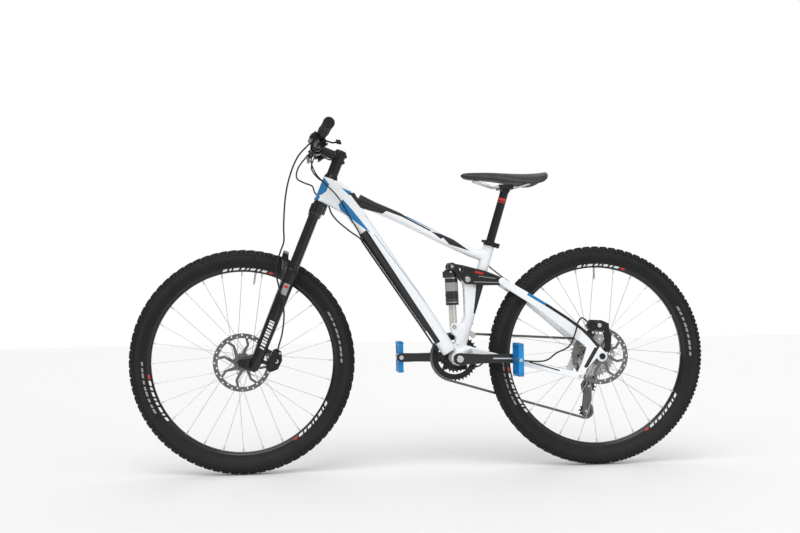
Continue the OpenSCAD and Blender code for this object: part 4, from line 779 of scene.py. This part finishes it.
def make_details():
    """Bolt heads on the pivots, cranks and calipers, the shock's rings and label, the post's marks."""
    side_bolts("rocker_bolts", on_both_sides("rocker", ROCKER_PIVOT, 8.5, 2.4)
               + on_both_sides("rocker", ROCKER_REAR, 6.5, 2.0)
               + on_both_sides("rocker", ROCKER_TOP, 5.0, 2.0), "rocker")
    side_bolts("main_pivot_bolts", on_both_sides("chainstay", MAIN_PIVOT, 7.5, 2.2)
               + on_both_sides("chainstay", DROPOUT_PIVOT, 5.5, 2.0), "chainstay")
    side_bolts("shock_bolt", on_both_sides("shock_shaft", SHOCK_FOOT, 4.6, 1.6), "shock_shaft")
    side_bolts("caliper_bolts", [("rear_caliper", (-579, 359), 1, 4.0, 2.4),
                                 ("rear_caliper", (-535, 424), 1, 4.0, 2.0),
                                 ("rear_caliper", (-558, 446), 1, 6.5, 1.2)], "seatstay")
    side_bolts("crank_bolts", [("crank_left", CRANK_AXIS, 1, 10.5, 1.6),
                               ("crank_right", CRANK_AXIS, -1, 10.5, 1.6)], "crank")
    side_bolts("pulley_bolts", on_both_sides("rd_cage", UPPER_PULLEY, 4.0, 1.2)
               + on_both_sides("rd_cage", LOWER_PULLEY, 4.0, 1.2), "rd_cage")
    axis = (SHOCK_TOP - SHOCK_LOW).normalized()
    rings = []
    # each ring's place up the shock, radius and height
    for h, r, tall in ((76, 21.6, 3.0), (84, 21.4, 1.4), (152, 21.8, 4.0), (160, 21.3, 1.2)):
        foot = SHOCK_LOW + axis * h
        rings.append(lathe([(19.5, 0), (r, 0.5), (r, tall - 0.5), (19.5, tall)], foot, axis, 40, ring=True))
    add("shock_rings", *joined(*rings), "shock_body", bright_steel, "steel")
    label = lathe([(20.2, 0), (20.75, 0.3), (20.75, 27.7), (20.2, 28)], SHOCK_LOW + axis * 112, axis, 48,
                  ring=True)
    add("shock_label", *label, "shock_body", mark_grey, "fork_paint")
    post = [lathe([(13.2, 0), (13.75, 0.2), (13.75, tall - 0.2), (13.2, tall)],
                  BB + UP_SEAT * up_by, UP_SEAT, 40)
            for up_by, tall in ((514, 3.0), (520, 9.0))]
    add("post_marks", *joined(*post), "seat", mark_red, "black_alloy")


def make_saddle():
    """The saddle's padded cover: a crowned shell with a rolled lower edge and a sewn seam."""
    # rows of [x, half width, top, bottom, droop of the edges]
    rows = [(-133, 5, 930, 926, 0.5), (-136, 12, 933, 921, 1.5), (-144, 17, 936, 917, 3),
            (-160, 20, 938.5, 914, 5), (-190, 22.5, 939, 913, 7), (-225, 26, 939, 912, 9.5),
            (-262, 34, 937, 911, 13), (-290, 45, 935.4, 911, 18), (-318, 58, 934.2, 911.5, 23),
            (-345, 67, 934.2, 912.5, 27), (-370, 70.5, 935.5, 914, 27), (-390, 66, 937.4, 917, 23),
            (-401, 55, 938.6, 921, 16), (-408, 38, 938.4, 926, 10), (-411, 18, 936.4, 930, 5)]
    verts, faces = [], []
    sides = 28
    groove_deep, groove_wide = 1.6, 9.0
    for x, half, top, low, droop in rows:
        for k in range(sides):
            t = 2 * math.pi * k / sides
            c, s = math.cos(t), math.sin(t)
            y = half * math.copysign(abs(c) ** 0.8, c)
            dip = groove_deep * math.exp(-(y / groove_wide) ** 2) if s > 0 and -395 < x < -150 else 0.0
            rise = (top - low) / 2 * math.copysign(abs(s) ** 0.75, s)
            z = (top + low) / 2 + rise - droop * (y / half) ** 2 - dip
            verts.append((x, y, z))
    for i in range(len(rows) - 1):
        for k in range(sides):
            m = (k + 1) % sides
            faces.append((i * sides + k, i * sides + m, (i + 1) * sides + m, (i + 1) * sides + k))
    faces.append(tuple(range(sides)))
    faces.append(tuple((len(rows) - 1) * sides + k for k in range(sides)))
    mesh = bpy.data.meshes.new("saddle_pad")
    mesh.from_pydata([Vector(v) * MM for v in verts], [], faces)
    mesh = applied(mesh, [("SUBSURF", {"levels": 2, "render_levels": 2})])
    pad = finish_piece("saddle_pad", mesh, "seat", saddle_cover, 180.0)
    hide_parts("saddle")
    seams = []
    # spot is the seam's angle up from the widest line of each section, in radians
    for side in (-1, 1):
        for spot in (0.10, 0.72):
            line = []
            for x, half, top, low, droop in rows[2:-2]:
                y = half * math.cos(spot) ** 0.8 * 0.975
                rise = (top - low) / 2 * math.sin(spot) ** 0.75 * 0.985
                z = (top + low) / 2 + rise - droop * (y / half) ** 2
                line.append(Vector((x, y * side, z)))
            seams.append(tube(smooth_path(line, 3), 0.9, 8))
    add("saddle_seams", *joined(*seams), "seat", saddle_cover, "saddle_cover", 180.0)


def make_stage():
    """A pale floor, an even white sky and three soft lamps."""
    sky_light = 0.38
    mesh = bpy.data.meshes.new("floor")
    mesh.from_pydata([(-9, -9, 0), (9, -9, 0), (9, 9, 0), (-9, 9, 0)], [], [(0, 1, 2, 3)])
    f = Finish("pale_floor", (0.9, 0.9, 0.9), 0.6)
    f.put("Roughness", f.span(f.noise(3.0, 2.0), 0.2, 0.8, 0.55, 0.65))
    mesh.materials.append(f.mat)
    floor = bpy.data.objects.new("floor", mesh)
    floor.location.z = -0.0005
    bpy.context.scene.collection.objects.link(floor)
    world = bpy.data.worlds.new("studio")
    world.use_nodes = True
    tree = world.node_tree
    glow = tree.nodes["Background"]
    glow.inputs[0].default_value = (1, 1, 1, 1)
    strength = tree.nodes.new("ShaderNodeMapRange")
    strength.inputs["To Min"].default_value = sky_light
    strength.inputs["To Max"].default_value = 1.0
    rays = tree.nodes.new("ShaderNodeLightPath")
    tree.links.new(rays.outputs["Is Camera Ray"], strength.inputs["Value"])
    tree.links.new(strength.outputs[0], glow.inputs[1])
    bpy.context.scene.world = world
    bpy.context.scene.view_settings.view_transform = "Standard"
    # each lamp: name, the way towards it, its angle in degrees, its strength
    lamps = [("key", (0.35, 0.75, 0.95), 55, 1.9), ("fill", (-0.6, 0.8, 0.5), 70, 0.6),
             ("back", (-0.2, -0.8, 0.9), 60, 0.7)]
    for name, toward, wide, power in lamps:
        lamp = bpy.data.lights.new(name, "SUN")
        lamp.angle = math.radians(wide)
        lamp.energy = power
        holder = bpy.data.objects.new(name, lamp)
        holder.rotation_euler = (-Vector(toward)).to_track_quat("-Z", "Y").to_euler()
        bpy.context.scene.collection.objects.link(holder)


make_hoses()
make_frame()
make_details()
fork_details()
make_wheels()
make_saddle()
make_stage()
